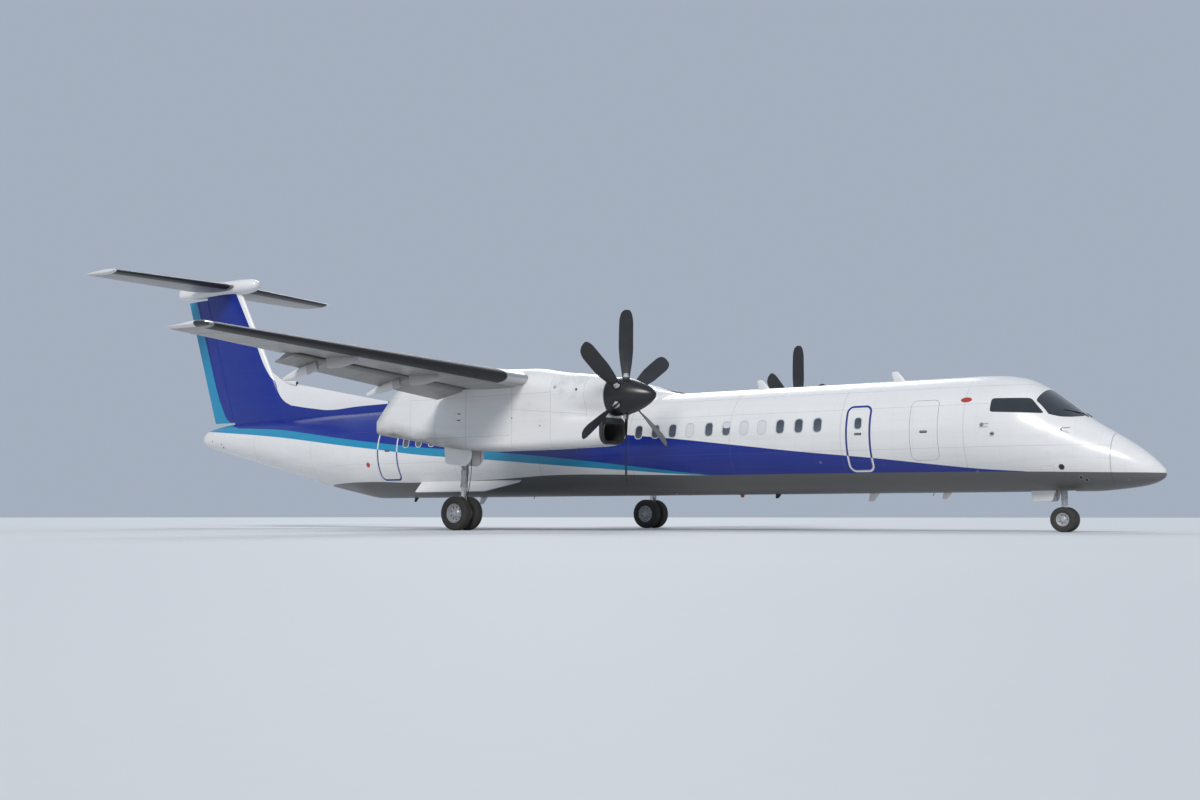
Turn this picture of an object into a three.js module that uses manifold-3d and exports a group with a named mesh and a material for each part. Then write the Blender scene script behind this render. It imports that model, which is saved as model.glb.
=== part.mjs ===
// Twin-turboprop regional airliner with a high wing and a T-tail, parked on its landing gear.
// Millimetres. +X points forward, +Y to port and +Z up. The ground is at Z = 0.
// A station is a distance aft of the nose tip, and a height is measured from the fuselage centre line.
import * as THREE from "three";
import { mergeVertices } from "three/addons/utils/BufferGeometryUtils.js";
import Module from "manifold-3d";

const wasm = await Module();
wasm.setup();

// Driving dimensions
const LENGTH = 32830;
const HALF_SPAN = 14210;
const HEIGHT = 8340;
const CENTRELINE_Z = 2250;
const NOSE_X = LENGTH / 2;
const GAP = 0.3;              // between solids that touch
const SEAM = 7;               // round a closed door
const NACELLE_Y = 4395;
const THRUST_HEIGHT = 930;    // propeller axis above the fuselage centre line
const PROP_STATION = 11080;
const PROP_RADIUS = 2055;
const BLADES = 6;
const MAIN_GEAR_STATION = 16140;
const NOSE_GEAR_STATION = 2200;
const MAIN_TYRE = { radius: 430, width: 270, rim: 245, spacing: 215 };
const NOSE_TYRE = { radius: 280, width: 165, rim: 150, spacing: 135 };

// Finishes
const finish = (color, roughness, metalness = 0) => ({ color, roughness, metalness });
const WHITE = finish(0xe9ebec, 0.3);
const BLUE = finish(0x1b2a78, 0.32);
const CYAN = finish(0x2e9cc4, 0.32);
const GREY = finish(0xa9adb0, 0.4);
const DARK = finish(0x17181a, 0.45);
const BLADE = finish(0x1d1e20, 0.5);
const STEEL = finish(0x8d9093, 0.35, 0.9);
const SOOTY = finish(0x3a3733, 0.6, 0.7);
const GLASS = finish(0x15191c, 0.08);
const TYRE = finish(0x141414, 0.9);
const HUB = finish(0xb8bbbd, 0.4, 0.6);
const ENGINE = finish(0x6f7274, 0.5, 0.7);

// Placing and solid modelling
const at = (station, y, height) => new THREE.Vector3(NOSE_X - station, y, CENTRELINE_Z + height);
const lerp = THREE.MathUtils.lerp;
const rad = THREE.MathUtils.degToRad;

// Value of each column of a table at a key, straight between its rows
function tableAt(rows, key) {
  let i = 0;
  while (i < rows.length - 2 && key > rows[i + 1][0]) i += 1;
  const t = (key - rows[i][0]) / (rows[i + 1][0] - rows[i][0]);
  return rows[i].map((value, k) => lerp(value, rows[i + 1][k], t));
}

// Closed body through rings of equal point count, capped at both ends
function loft(rings) {
  const count = rings[0].length;
  const points = rings.flat().map((p) => p.clone());
  const faces = [];
  for (let r = 0; r < rings.length - 1; r += 1) {
    for (let i = 0; i < count; i += 1) {
      const a = r * count + i;
      const b = r * count + ((i + 1) % count);
      faces.push([a, b, b + count], [a, b + count, a + count]);
    }
  }
  const last = (rings.length - 1) * count;
  for (const [ring, first, flip] of [[rings[0], 0, true], [rings.at(-1), last, false]]) {
    const centre = ring.reduce((sum, p) => sum.add(p), new THREE.Vector3()).divideScalar(count);
    const c = points.push(centre) - 1;
    for (let i = 0; i < count; i += 1) {
      const a = first + i;
      const b = first + ((i + 1) % count);
      faces.push(flip ? [b, a, c] : [a, b, c]);
    }
  }
  return solidFrom(points, faces);
}

function solidFrom(points, faces) {
  const geometry = new THREE.BufferGeometry().setFromPoints(points);
  geometry.setIndex(faces.flat());
  return solid(geometry);
}

// Manifold solid from a closed three.js geometry, turned so that its faces point out
function solid(geometry, place = new THREE.Matrix4()) {
  const plain = geometry.clone().applyMatrix4(place);
  plain.deleteAttribute("normal");
  plain.deleteAttribute("uv");
  const merged = mergeVertices(plain, 0.001);
  const position = merged.attributes.position;
  const triVerts = new Uint32Array(merged.index.array);
  const [a, b, c] = [new THREE.Vector3(), new THREE.Vector3(), new THREE.Vector3()];
  let volume = 0;
  for (let i = 0; i < triVerts.length; i += 3) {
    a.fromBufferAttribute(position, triVerts[i]);
    b.fromBufferAttribute(position, triVerts[i + 1]);
    c.fromBufferAttribute(position, triVerts[i + 2]);
    volume += a.dot(b.cross(c));
  }
  if (volume < 0) triVerts.reverse();
  return new wasm.Manifold(new wasm.Mesh({
    numProp: 3,
    vertProperties: new Float32Array(position.array),
    triVerts,
  }));
}

// Box between two corners, in part coordinates
function box(low, high) {
  const size = new THREE.Vector3().subVectors(high, low);
  const abs = [Math.abs(size.x), Math.abs(size.y), Math.abs(size.z)];
  const mid = new THREE.Vector3().addVectors(low, high).multiplyScalar(0.5);
  return solid(new THREE.BoxGeometry(...abs), new THREE.Matrix4().setPosition(mid));
}

// Matrix that takes +Y to the way from one point to another, at their middle
function along(from, to) {
  const way = new THREE.Vector3().subVectors(to, from).normalize();
  const turn = new THREE.Quaternion().setFromUnitVectors(new THREE.Vector3(0, 1, 0), way);
  const mid = new THREE.Vector3().addVectors(from, to).multiplyScalar(0.5);
  return new THREE.Matrix4().compose(mid, turn, new THREE.Vector3(1, 1, 1));
}

// Round bar between two points, tapered where the radii differ
function bar(from, to, radius, sides = 12, endRadius = radius) {
  const length = from.distanceTo(to);
  return solid(new THREE.CylinderGeometry(endRadius, radius, length, sides), along(from, to));
}

// Outline in the side view, of [station, height] points, extruded across from y0 to y1
function slab(outline, y0, y1) {
  const rings = [y0, y1].map((y) => outline.map(([station, height]) => at(station, y, height)));
  return prism(rings);
}

// Closed body between two like rings whose flat ends may be hollow in outline
function prism(rings) {
  const count = rings[0].length;
  const points = rings.flat();
  const flat = flatten(rings[0]);
  const cap = THREE.ShapeUtils.triangulateShape(flat, []);
  const faces = [];
  for (let i = 0; i < count; i += 1) {
    const b = (i + 1) % count;
    faces.push([i, b, b + count], [i, b + count, i + count]);
  }
  const turns = THREE.ShapeUtils.isClockWise(flat) ? -1 : 1;
  for (const [a, b, c] of cap) {
    const forward = signedArea(flat[a], flat[b], flat[c]) * turns > 0;
    faces.push(forward ? [c, b, a] : [a, b, c]);
    faces.push(forward ? [a + count, b + count, c + count] : [c + count, b + count, a + count]);
  }
  return solidFrom(points, faces);
}

const signedArea = (a, b, c) => (b.x - a.x) * (c.y - a.y) - (c.x - a.x) * (b.y - a.y);

// A flat ring's points in two coordinates of its own plane
function flatten(ring) {
  const u = new THREE.Vector3().subVectors(ring[1], ring[0]).normalize();
  const normal = new THREE.Vector3();
  ring.forEach((p, i) => normal.add(new THREE.Vector3().crossVectors(p, ring[(i + 1) % ring.length])));
  const v = new THREE.Vector3().crossVectors(normal.normalize(), u);
  return ring.map((p) => new THREE.Vector2(p.dot(u), p.dot(v)));
}

// Rectangle with rounded corners in the side view, as [station, height] points
function roundedOutline(fore, aft, low, high, corner, steps = 3) {
  const outline = [];
  const corners = [[aft, high, 0], [fore, high, 90], [fore, low, 180], [aft, low, 270]];
  for (const [station, height, start] of corners) {
    const s = station + (station === aft ? -corner : corner);
    const h = height + (height === high ? -corner : corner);
    for (let i = 0; i <= steps; i += 1) {
      const a = rad(start + (90 * i) / steps);
      outline.push([s + corner * Math.cos(a), h + corner * Math.sin(a)]);
    }
  }
  return outline;
}

const join = (pieces) => pieces.reduce((sum, piece) => sum.add(piece));
const cut = (body, tools) => tools.reduce((left, tool) => left.subtract(tool), body);

const airliner = new THREE.Group();
const hinges = {};

function addPiece(name, body, look) {
  const result = body.getMesh();
  const geometry = new THREE.BufferGeometry();
  geometry.setAttribute("position", new THREE.BufferAttribute(new Float32Array(result.vertProperties), 3));
  geometry.setIndex(new THREE.BufferAttribute(new Uint32Array(result.triVerts), 1));
  geometry.computeVertexNormals();
  const mesh = new THREE.Mesh(geometry, new THREE.MeshStandardMaterial(look));
  mesh.name = name;
  airliner.add(mesh);
  return mesh;
}

// Fuselage

const FUSELAGE_SIDES = 36;
const FUSELAGE = [ // station, half width, top, bottom
  [0, 40, -930, -1010], [80, 170, -800, -1110], [250, 310, -620, -1190], [500, 445, -410, -1250],
  [1000, 640, -70, -1310], [1500, 830, 245, -1345], [2000, 1020, 645, -1345], [2500, 1190, 1010, -1345],
  [3000, 1295, 1245, -1345], [3500, 1340, 1325, -1345], [4000, 1345, 1345, -1345],
  [22900, 1345, 1345, -1345], [24000, 1254, 1329, -1179], [29000, 639, 1219, -59], [30000, 505, 1170, 165],
  [30800, 370, 1070, 345], [31250, 230, 950, 480], [31420, 110, 827, 574],
];
const RADOME_STATION = 1000;

function ovalRing(station, top, bottom, halfWidth, grow, sides) {
  const centre = (top + bottom) / 2;
  const tall = (top - bottom) / 2 + grow;
  const wide = halfWidth + grow;
  return Array.from({ length: sides }, (_, i) => {
    const a = (2 * Math.PI * i) / sides;
    return at(station, wide * Math.cos(a), centre + tall * Math.sin(a));
  });
}

// Fuselage shape grown outwards by some millimetres, between two stations
function hull(grow, from = 0, to = Infinity) {
  const rows = FUSELAGE.filter(([station]) => station > from && station < to);
  if (from > 0) rows.unshift(tableAt(FUSELAGE, from));
  else rows.unshift(FUSELAGE[0]);
  rows.push(to < Infinity ? tableAt(FUSELAGE, to) : FUSELAGE.at(-1));
  const unique = rows.filter((row, i) => i === 0 || row[0] > rows[i - 1][0]);
  return loft(unique.map(([s, wide, top, low]) => ovalRing(s, top, low, wide, grow, FUSELAGE_SIDES)));
}

// Doors: fore and aft station, low and high edge, side (1 is port), thickness of the wall
const DOORS = [
  { name: "airstair_door", fore: 4350, aft: 5110, low: -780, high: 870, side: 1 },
  { name: "aft_passenger_door", fore: 20930, aft: 21690, low: -780, high: 870, side: 1 },
  { name: "aft_baggage_door", fore: 22250, aft: 23520, low: -500, high: 780, side: 1 },
  { name: "forward_exit_door", fore: 6300, aft: 6870, low: -820, high: 670, side: -1 },
  { name: "forward_baggage_door", fore: 4620, aft: 5300, low: -620, high: 760, side: -1 },
  { name: "aft_service_door", fore: 21310, aft: 22050, low: -810, high: 710, side: -1 },
];
const DOOR_THICKNESS = 80;
const DOOR_CORNER = 130;
const SWING_ROOM = 10;        // more seam above a door that swings out and down
const SILL_ROOM = 130;        // radius left clear about the sill of that door

function doorPrism(door, inset, drop = 0) {
  const { fore, aft, low, high, side } = door;
  const corner = DOOR_CORNER - inset;
  const outline = roundedOutline(fore + inset, aft - inset, low + inset, high - inset - drop, corner);
  return slab(outline, side * 300, side * 1500);
}

// Flight deck glazing: one wrap-round band seen from the side, below the roof
const GLAZING = [ // station, height
  [1600, 230], [2330, 345], [3440, 410], [3440, 745], [2660, 735], [2570, 665], [2375, 925],
  [2330, 1020], [1560, 400],
];
const GLASS_THICKNESS = 40;

// Lifting surfaces

const FOIL_STEPS = 7;
const TRAILING_HALF = 3;

// Half thickness of a four-digit section, as a share of its chord
function foilHalf(x, thickness) {
  const poly = 0.2969 * Math.sqrt(x) - 0.126 * x - 0.3516 * x ** 2 + 0.2843 * x ** 3 - 0.1036 * x ** 4;
  return 5 * thickness * poly;
}

// Camber line height of a four-digit section, as a share of its chord
function foilCamber(x, camber) {
  const crest = 0.4;
  if (x < crest) return (camber / crest ** 2) * (2 * crest * x - x ** 2);
  return (camber / (1 - crest) ** 2) * (1 - 2 * crest + 2 * crest * x - x ** 2);
}

// Upper or lower surface of a section row at a share x of its chord: [station, offset]
function skin(row, x, side) {
  const half = foilHalf(x, row.thickness) * row.chord + TRAILING_HALF * x;
  const mean = row.offset + row.chord * (foilCamber(x, row.camber) - x * Math.tan(rad(row.incidence)));
  return [row.le + x * row.chord, mean + side * half];
}

function rowAt(rows, span) {
  const keys = Object.keys(rows[0]);
  const values = tableAt(rows.map((row) => keys.map((key) => row[key])), span);
  return Object.fromEntries(keys.map((key, i) => [key, values[i]]));
}

// Part of a section from the leading edge to a share of the chord, grown by some millimetres
function frontRing(row, to, grow = 0) {
  const points = [];
  for (let i = FOIL_STEPS; i >= -FOIL_STEPS; i -= 1) {
    const x = to * (1 - Math.cos((Math.PI * Math.abs(i)) / FOIL_STEPS / 2));
    const side = Math.sign(i);
    const [s, h] = skin(row, x, side);
    points.push([s + (i === 0 ? -grow : 0) + (Math.abs(i) === FOIL_STEPS ? grow : 0), h + side * grow]);
  }
  return points;
}

// A hinged surface: its hinge line lies a given distance ahead of the trailing edge, its nose is round
const NOSE_STEPS = 4;
function hingedRing(row, depth) {
  const x = 1 - depth / row.chord;
  const [station, high] = skin(row, x, 1);
  const low = skin(row, x, -1)[1];
  const radius = (high - low) / 2;
  const centre = (high + low) / 2;
  const points = [skin(row, 1, 1), skin(row, (1 + x) / 2, 1)];
  for (let i = 0; i <= NOSE_STEPS * 2; i += 1) {
    const a = (Math.PI * i) / (NOSE_STEPS * 2);
    points.push([station - radius * Math.sin(a), centre + radius * Math.cos(a)]);
  }
  points.push(skin(row, (1 + x) / 2, -1), skin(row, 1, -1));
  return { points, station, centre, radius };
}

// Wing. Sections by span position, on the port side
const WING = [
  { span: 0, le: 13500, chord: 2900, offset: 1450, thickness: 0.18, camber: 0.03, incidence: 2.5 },
  { span: 4950, le: 13640, chord: 2580, offset: 1425, thickness: 0.17, camber: 0.03, incidence: 2.5 },
  { span: HALF_SPAN, le: 14250, chord: 1160, offset: 1835, thickness: 0.13, camber: 0.03, incidence: 1 },
];
const WING_JOINT_Y = 4950;
const FLAP_DEPTH = 0.29;          // share of the chord
const FLAP_SHELF = 14;            // clearance ahead of a stowed flap
const AILERON_DEPTH = 0.26;
const AILERON_INNER_Y = 10960;
const AILERON_OUTER_Y = 13850;
const FLAPS = [ // name, inner and outer end
  ["flap_inner", 1290, 3830], ["flap_outer", 4990, 10900],
];
const FLAP_ARC = 1100;            // flap carriage arc centre below the flap's nose
const FLAP_SETTING = 15;          // degrees, as in take-off
const CANOES = [7340, 10100];     // flap track fairings' span positions

const wingPoint = (sign) => (span) => ([station, height]) => at(station, sign * span, height);

function panel(rows, place, spans, ringOf) {
  return loft(spans.map((span) => ringOf(rowAt(rows, span), span).map(place(span))));
}

// Wing body between two spans with a flat rear face at a share of the chord
const wingBody = (sign, spans, rear, grow = 0) =>
  panel(WING, wingPoint(sign), spans, (row) => frontRing(row, rear, grow));

// The flap as stowed: rounded nose, the wing's own skin behind it
function stowedFlap(sign, inner, outer) {
  const rings = [inner, outer].map((span) => {
    const row = rowAt(WING, span);
    return { ...hingedRing(row, row.chord * FLAP_DEPTH), span };
  });
  const body = loft(rings.map((ring) => ring.points.map(wingPoint(sign)(ring.span))));
  return { body, rings };
}

// The flap's carriage line, from its inner to its outer end
const carriageLine = (sign, inner, outer) => stowedFlap(sign, inner, outer).rings.map((ring) =>
  at(ring.station - ring.radius, sign * ring.span, ring.centre - FLAP_ARC));

// Turns a solid about an axis through a point
function swing(body, origin, axis, degrees) {
  const turn = new THREE.Matrix4().makeRotationAxis(axis, rad(degrees));
  const shift = new THREE.Matrix4().makeTranslation(origin.x, origin.y, origin.z);
  const back = new THREE.Matrix4().makeTranslation(-origin.x, -origin.y, -origin.z);
  return body.transform(shift.multiply(turn).multiply(back).elements);
}

// Hinge brackets: an arm of the fixed piece reaches the hinge line in a notch of the moving one
const BRACKET = { thick: 40, eye: 24, deep: 26, play: 9, root: 45 };
function brackets(line, shares) {
  const axis = new THREE.Vector3().subVectors(line[1].pos, line[0].pos).normalize();
  const nose = new THREE.Vector3(1, 0, 0);
  nose.addScaledVector(axis, -nose.dot(axis)).normalize();
  const across = new THREE.Vector3().crossVectors(nose, axis);
  return shares.map((t) => {
    const place = new THREE.Matrix4().makeBasis(nose, axis, across);
    place.setPosition(line[0].pos.clone().lerp(line[1].pos, t));
    const radius = lerp(line[0].radius, line[1].radius, t);
    const reach = radius + FLAP_SHELF + BRACKET.root;
    const arm = new THREE.BoxGeometry(reach, BRACKET.thick, BRACKET.deep).translate(reach / 2, 0, 0);
    const eye = new THREE.CylinderGeometry(BRACKET.eye, BRACKET.eye, BRACKET.thick, 8);
    const room = radius + BRACKET.play;
    const notch = new THREE.CylinderGeometry(room, room, BRACKET.thick + 2 * GAP, 12);
    return { arm: solid(arm, place).add(solid(eye, place)), notch: solid(notch, place) };
  });
}
const HINGE_SHARES = [0.2, 0.8];
const hingeLine = (rings, sign) => rings.map((ring) => (
  { pos: at(ring.station, sign * ring.span, ring.centre), radius: ring.radius }));
const arms = (pairs) => join(pairs.map((pair) => pair.arm));
const notches = (pairs) => pairs.map((pair) => pair.notch);

// Flap rails: arcs about the carriage centre, which lugs on the flap ride over
const RAIL = { low: 900, high: 945, width: 36, from: -14, to: 40, riser: -8.4, lug: 4, play: 0.85 };
function railSector(line, t, low, high, from, to, width) {
  const axis = new THREE.Vector3().subVectors(line[1], line[0]).normalize();
  const up = new THREE.Vector3(0, 0, 1);
  up.addScaledVector(axis, -up.dot(axis)).normalize();
  const aft = new THREE.Vector3().crossVectors(up, axis);
  if (aft.x > 0) aft.negate();
  const origin = line[0].clone().lerp(line[1], t);
  const steps = Math.max(1, Math.round((to - from) / 11));
  const outline = [];
  for (const [radius, start, step] of [[high, 0, 1], [low, steps, -1]]) {
    for (let i = 0; i <= steps; i += 1) {
      const a = rad(lerp(from, to, (start + step * i) / steps));
      outline.push([radius * Math.sin(a), radius * Math.cos(a)]);
    }
  }
  const rings = [-width / 2, width / 2].map((w) => outline.map(([back, rise]) =>
    origin.clone().addScaledVector(aft, back).addScaledVector(up, rise).addScaledVector(axis, w)));
  return prism(rings);
}
// Places of a flap's rails along it, as shares of its length
const railShares = (name, inner, outer) =>
  (name === "flap_outer" ? CANOES.map((span) => (span - inner) / (outer - inner)) : [0.1, 0.9]);
const fixedRail = (line, t) => join([
  railSector(line, t, RAIL.low, RAIL.high, RAIL.from, RAIL.to, RAIL.width),
  railSector(line, t, RAIL.low, FLAP_ARC - 20, RAIL.from, RAIL.riser, RAIL.width),
]);
const flapLug = (line, t) => railSector(line, t, RAIL.high + RAIL.play, FLAP_ARC, 0, RAIL.lug, RAIL.width);
const railSlot = (line, t) => railSector(line, t, RAIL.low - 12, RAIL.high + 10, -80, 80, RAIL.width + 14);

// Spindle body under the wing, from one station to another
const CANOE_SIDES = 8;
function canoe(sign, span, from, to, blunt) {
  const steps = [[0, blunt[0]], [0.12, 0.62], [0.35, 1], [0.6, 0.92], [0.85, 0.55], [1, blunt[1]]];
  const row = rowAt(WING, span);
  return loft(steps.map(([t, size]) => {
    const station = lerp(from, to, t);
    const x = Math.min(0.98, (station - row.le) / row.chord);
    const low = skin(row, x, -1)[1];
    return Array.from({ length: CANOE_SIDES }, (_, i) => {
      const a = (2 * Math.PI * i) / CANOE_SIDES;
      const drop = low - 95 + 165 * size * Math.sin(a);
      return at(station, sign * (span + 62 * size * Math.cos(a)), drop);
    });
  }));
}

// Wing and fuselage

const flapWall = (row) => {
  const ring = hingedRing(row, row.chord * FLAP_DEPTH);
  return (ring.station - ring.radius - FLAP_SHELF - row.le) / row.chord;
};

// Wing through fuselage and nacelles: full chord, then cut away for the inner flap, then full to the joint
function wingCentre(grow) {
  const [, inner, outer] = FLAPS[0];
  return join([1, -1].map((sign) => join([
    wingBody(sign, [0, inner - 30], 1, grow),
    panel(WING, wingPoint(sign), [inner - 31, outer + 30], (row) => frontRing(row, flapWall(row), grow)),
    wingBody(sign, [outer + 29, WING_JOINT_Y - GAP + grow * 2], 0.93, grow),
  ])));
}
const wingGrown = wingCentre(GAP);

const SADDLE = [ // station, half width, top, low edge
  [12250, 300, 1352, 1000], [12700, 760, 1440, 700], [13300, 1060, 1640, 640], [14000, 1160, 1760, 680],
  [15500, 1200, 1770, 760], [16800, 1180, 1660, 920], [17900, 900, 1540, 1000], [18950, 300, 1352, 1100],
];
const SADDLE_STEPS = 6;

// Fairing that carries the wing: a flat-topped arch over the fuselage crown
function saddleRing([station, wide, top, low]) {
  const points = [];
  for (let i = 0; i <= SADDLE_STEPS * 2; i += 1) {
    const a = (Math.PI * i) / (SADDLE_STEPS * 2);
    const c = Math.cos(a);
    const s = Math.sin(a);
    const y = wide * Math.sign(c) * Math.abs(c) ** 0.55;
    points.push(at(station, y, low + (top - low) * s ** 0.7));
  }
  return points;
}

const crownGrown = hull(GAP, 11000, 20500);
const flapRoom = join([1, -1].map((sign) => flapSpace(sign, FLAPS[0][1] - 20, FLAPS[0][2] + 20)));
addPiece("wing_fairing", cut(loft(SADDLE.map(saddleRing)), [crownGrown, wingGrown, flapRoom]), WHITE);

// Space that a flap sweeps behind the wing, as a block
function flapSpace(sign, inner, outer) {
  const row = rowAt(WING, inner);
  const fore = row.le + row.chord * (1 - FLAP_DEPTH) - 180;
  return box(at(fore + 2600, sign * inner, 300), at(fore, sign * outer, 2200));
}

const strakes = {};
const STRAKE = { fore: 16900, aft: 20600, depth: 450, thick: 26, angle: -42 };
for (const [side, sign] of [["left", 1], ["right", -1]]) {
  const a = rad(STRAKE.angle);
  const outline = [
    [STRAKE.fore, 1300], [STRAKE.aft, 1300], [STRAKE.aft - 40, 1345 + STRAKE.depth],
    [STRAKE.fore + 1050, 1345 + STRAKE.depth * 0.98], [STRAKE.fore, 1345 + 60],
  ];
  const rings = [-0.5, 0.5].map((t) => outline.map(([station, reach]) => {
    const y = reach * Math.cos(a) - t * STRAKE.thick * Math.sin(a);
    const height = reach * Math.sin(a) + t * STRAKE.thick * Math.cos(a);
    return at(station, sign * y, height);
  }));
  strakes[side] = cut(prism(rings), [hull(GAP, 16000, 21500)]);
  addPiece(`ventral_strake_${side}`, strakes[side], WHITE);
}

const NOSE_BAY = { fore: 1900, aft: 2900, halfWidth: 230, top: -850 };
const noseBay = box(
  at(NOSE_BAY.aft, -NOSE_BAY.halfWidth, -1700), at(NOSE_BAY.fore, NOSE_BAY.halfWidth, NOSE_BAY.top));

const doorCore = hull(-DOOR_THICKNESS - GAP, 3000, 25000);
const doorTools = DOORS.map((door) => doorPrism(door, 0).subtract(doorCore));
// Room behind the sill for the airstair door's inner edge as it swings about the sill
const airstair = DOORS[0];
const hingeReach = Math.sqrt(1345 ** 2 - airstair.low ** 2);
const sill = [airstair.aft, airstair.fore].map((station) => at(station, hingeReach, airstair.low));
doorTools.push(bar(...sill, SILL_ROOM, 24).intersect(doorPrism(airstair, 0)));
const glazingBand = slab(GLAZING, -1500, 1500);
const glassCore = hull(-GLASS_THICKNESS, 1200, 4500);
const fuselage = cut(hull(0, RADOME_STATION), [
  wingGrown, noseBay, ...doorTools, glazingBand.subtract(hull(-GLASS_THICKNESS - GAP, 1200, 4500)),
]);
addPiece("fuselage", fuselage, WHITE);
addPiece("radome", hull(0, 0, RADOME_STATION - GAP), WHITE);
addPiece("cockpit_glazing", shrinkIn(glazingBand, hull(0, 1200, 4500)).subtract(glassCore), GLASS);

// The part of a tool inside a body, moved in from the tool's edge by the touching gap
function shrinkIn(tool, body) {
  const band = slab(insetOutline(GLAZING, 3), -1500, 1500);
  return tool.intersect(band).intersect(body);
}

// Outline moved towards its own middle by a distance
function insetOutline(outline, distance) {
  const s0 = outline.reduce((sum, [s]) => sum + s, 0) / outline.length;
  const h0 = outline.reduce((sum, [, h]) => sum + h, 0) / outline.length;
  return outline.map(([s, h]) => {
    const reach = Math.hypot(s - s0, h - h0);
    return [s + ((s0 - s) * distance) / reach, h + ((h0 - h) * distance) / reach];
  });
}

for (const door of DOORS) {
  const body = doorPrism(door, SEAM, door === DOORS[0] ? SWING_ROOM : 0).intersect(hull(0, 3000, 25000));
  addPiece(door.name, body.subtract(hull(-DOOR_THICKNESS, 3000, 25000)), WHITE);
}
hinges.airstair_hinge = {
  pos: at((airstair.fore + airstair.aft) / 2, hingeReach, airstair.low), axis: new THREE.Vector3(-1, 0, 0),
};

// Wing panels, flaps and ailerons

const hingeWall = (row, share) => {
  const ring = hingedRing(row, row.chord * share);
  return (ring.station - ring.radius - FLAP_SHELF - row.le) / row.chord;
};
const innerRails = [1, -1].flatMap((sign) => {
  const [name, inner, outer] = FLAPS[0];
  const line = carriageLine(sign, inner, outer);
  return railShares(name, inner, outer).map((t) => fixedRail(line, t));
});
addPiece("wing_center", join([wingCentre(0), ...innerRails]), GREY);

for (const [side, sign] of [["left", 1], ["right", -1]]) {
  const spans = [
    [WING_JOINT_Y, AILERON_INNER_Y - 26, flapWall],
    [AILERON_INNER_Y - 27, AILERON_OUTER_Y + 14, (row) => hingeWall(row, AILERON_DEPTH)],
    [AILERON_OUTER_Y + 13, HALF_SPAN, () => 1],
  ];
  const parts = spans.map(([inner, outer, rear]) =>
    panel(WING, wingPoint(sign), [inner, outer], (row) => frontRing(row, rear(row))));
  const fixedCanoes = CANOES.map((span) => {
    const row = rowAt(WING, span);
    const wall = row.le + row.chord * flapWall(row);
    return canoe(sign, span, wall - 900, wall - 10, [0.12, 0.5]);
  });
  const [outerName, outerFrom, outerTo] = FLAPS[1];
  const outerLine = carriageLine(sign, outerFrom, outerTo);
  const rails = railShares(outerName, outerFrom, outerTo).map((t) => fixedRail(outerLine, t));

  const ends = [AILERON_INNER_Y, AILERON_OUTER_Y].map((span) => {
    const row = rowAt(WING, span);
    return { ...hingedRing(row, row.chord * AILERON_DEPTH), span };
  });
  const aileron = loft(ends.map((ring) => ring.points.map(wingPoint(sign)(ring.span))));
  const aileronHinges = brackets(hingeLine(ends, sign), HINGE_SHARES);
  addPiece(`wing_outer_${side}`, join([...parts, ...fixedCanoes, ...rails, arms(aileronHinges)]), GREY);
  addPiece(`aileron_${side}`, cut(aileron, notches(aileronHinges)), GREY);
  hinges[`aileron_${side}`] = axisThrough(hingeLine(ends, sign).map((end) => end.pos), sign);

  for (const [name, inner, outer] of FLAPS) {
    const { body } = stowedFlap(sign, inner, outer);
    const line = carriageLine(sign, inner, outer);
    const hinge = axisThrough(line, sign);
    const shares = railShares(name, inner, outer);
    let flap = body;
    if (name === "flap_outer") {
      const tails = CANOES.map((span) => {
        const row = rowAt(WING, span);
        const wall = row.le + row.chord * flapWall(row);
        return canoe(sign, span, wall + 22, wall + 1000, [0.6, 0.1]);
      });
      flap = cut(join([body, ...tails]), shares.map((t) => railSlot(line, t)));
    }
    flap = join([flap, ...shares.map((t) => flapLug(line, t))]);
    addPiece(`${name}_${side}`, swing(flap, hinge.pos, hinge.axis, FLAP_SETTING), GREY);
    hinges[`${name}_${side}`] = hinge;
  }
}

// Axis from the starboard end to the port end of a hinge line, so that a positive turn lowers the rear
function axisThrough(line, sign) {
  const [inner, outer] = line;
  const way = new THREE.Vector3().subVectors(outer, inner).multiplyScalar(sign).normalize();
  return { pos: inner.clone().add(outer).multiplyScalar(0.5), axis: way.negate() };
}

// Nacelles, engines and exhausts

const NACELLE = [ // station, top, bottom, half width, low corner radius
  [11430, 1400, -200, 500, 260], [11800, 1470, -230, 525, 240], [12800, 1590, -250, 535, 210],
  [13700, 1730, -262, 538, 190], [15200, 1770, -262, 532, 170], [16300, 1760, -165, 520, 160],
  [17300, 1690, 15, 480, 150], [18100, 1560, 140, 420, 140], [18830, 1450, 250, 340, 130],
];
const NACELLE_STEPS = 4;

// Tall section: a half ellipse on top, straight sides, rounded lower corners
function nacelleRing(sign, [station, top, bottom, wide, corner]) {
  const shoulder = top - wide * 0.95;
  const points = [];
  for (let i = 0; i <= NACELLE_STEPS * 2; i += 1) {
    const a = (Math.PI * i) / (NACELLE_STEPS * 2);
    points.push([wide * Math.cos(a), shoulder + (top - shoulder) * Math.sin(a)]);
  }
  for (const [cy, start] of [[-1, 180], [1, 270]]) {
    for (let i = 0; i <= 3; i += 1) {
      const a = rad(start + 30 * i);
      points.push([cy * (wide - corner) + corner * Math.cos(a), bottom + corner + corner * Math.sin(a)]);
    }
  }
  return points.map(([y, h]) => at(station, sign * NACELLE_Y + y, h));
}

const ENGINE_BAY = { fore: 11560, aft: 14060, low: 500, high: 1290, halfWidth: 380 };
const ENGINE_SIZE = { fore: 11800, aft: 14000, high: 1230, halfWidth: 350 };
const GEARBOX = { fore: 11446, radius: 240, bayRadius: 290 };
const INTAKE = { fore: 11300, aft: 12250, low: -130, high: 300, halfWidth: 410 };
const WHEEL_BAY = { fore: 15600, aft: 16560, halfWidth: 250, top: 500 };
const EXHAUST = { station: 18420, height: 1010, outer: 235, inner: 205, depth: 420 };

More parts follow.
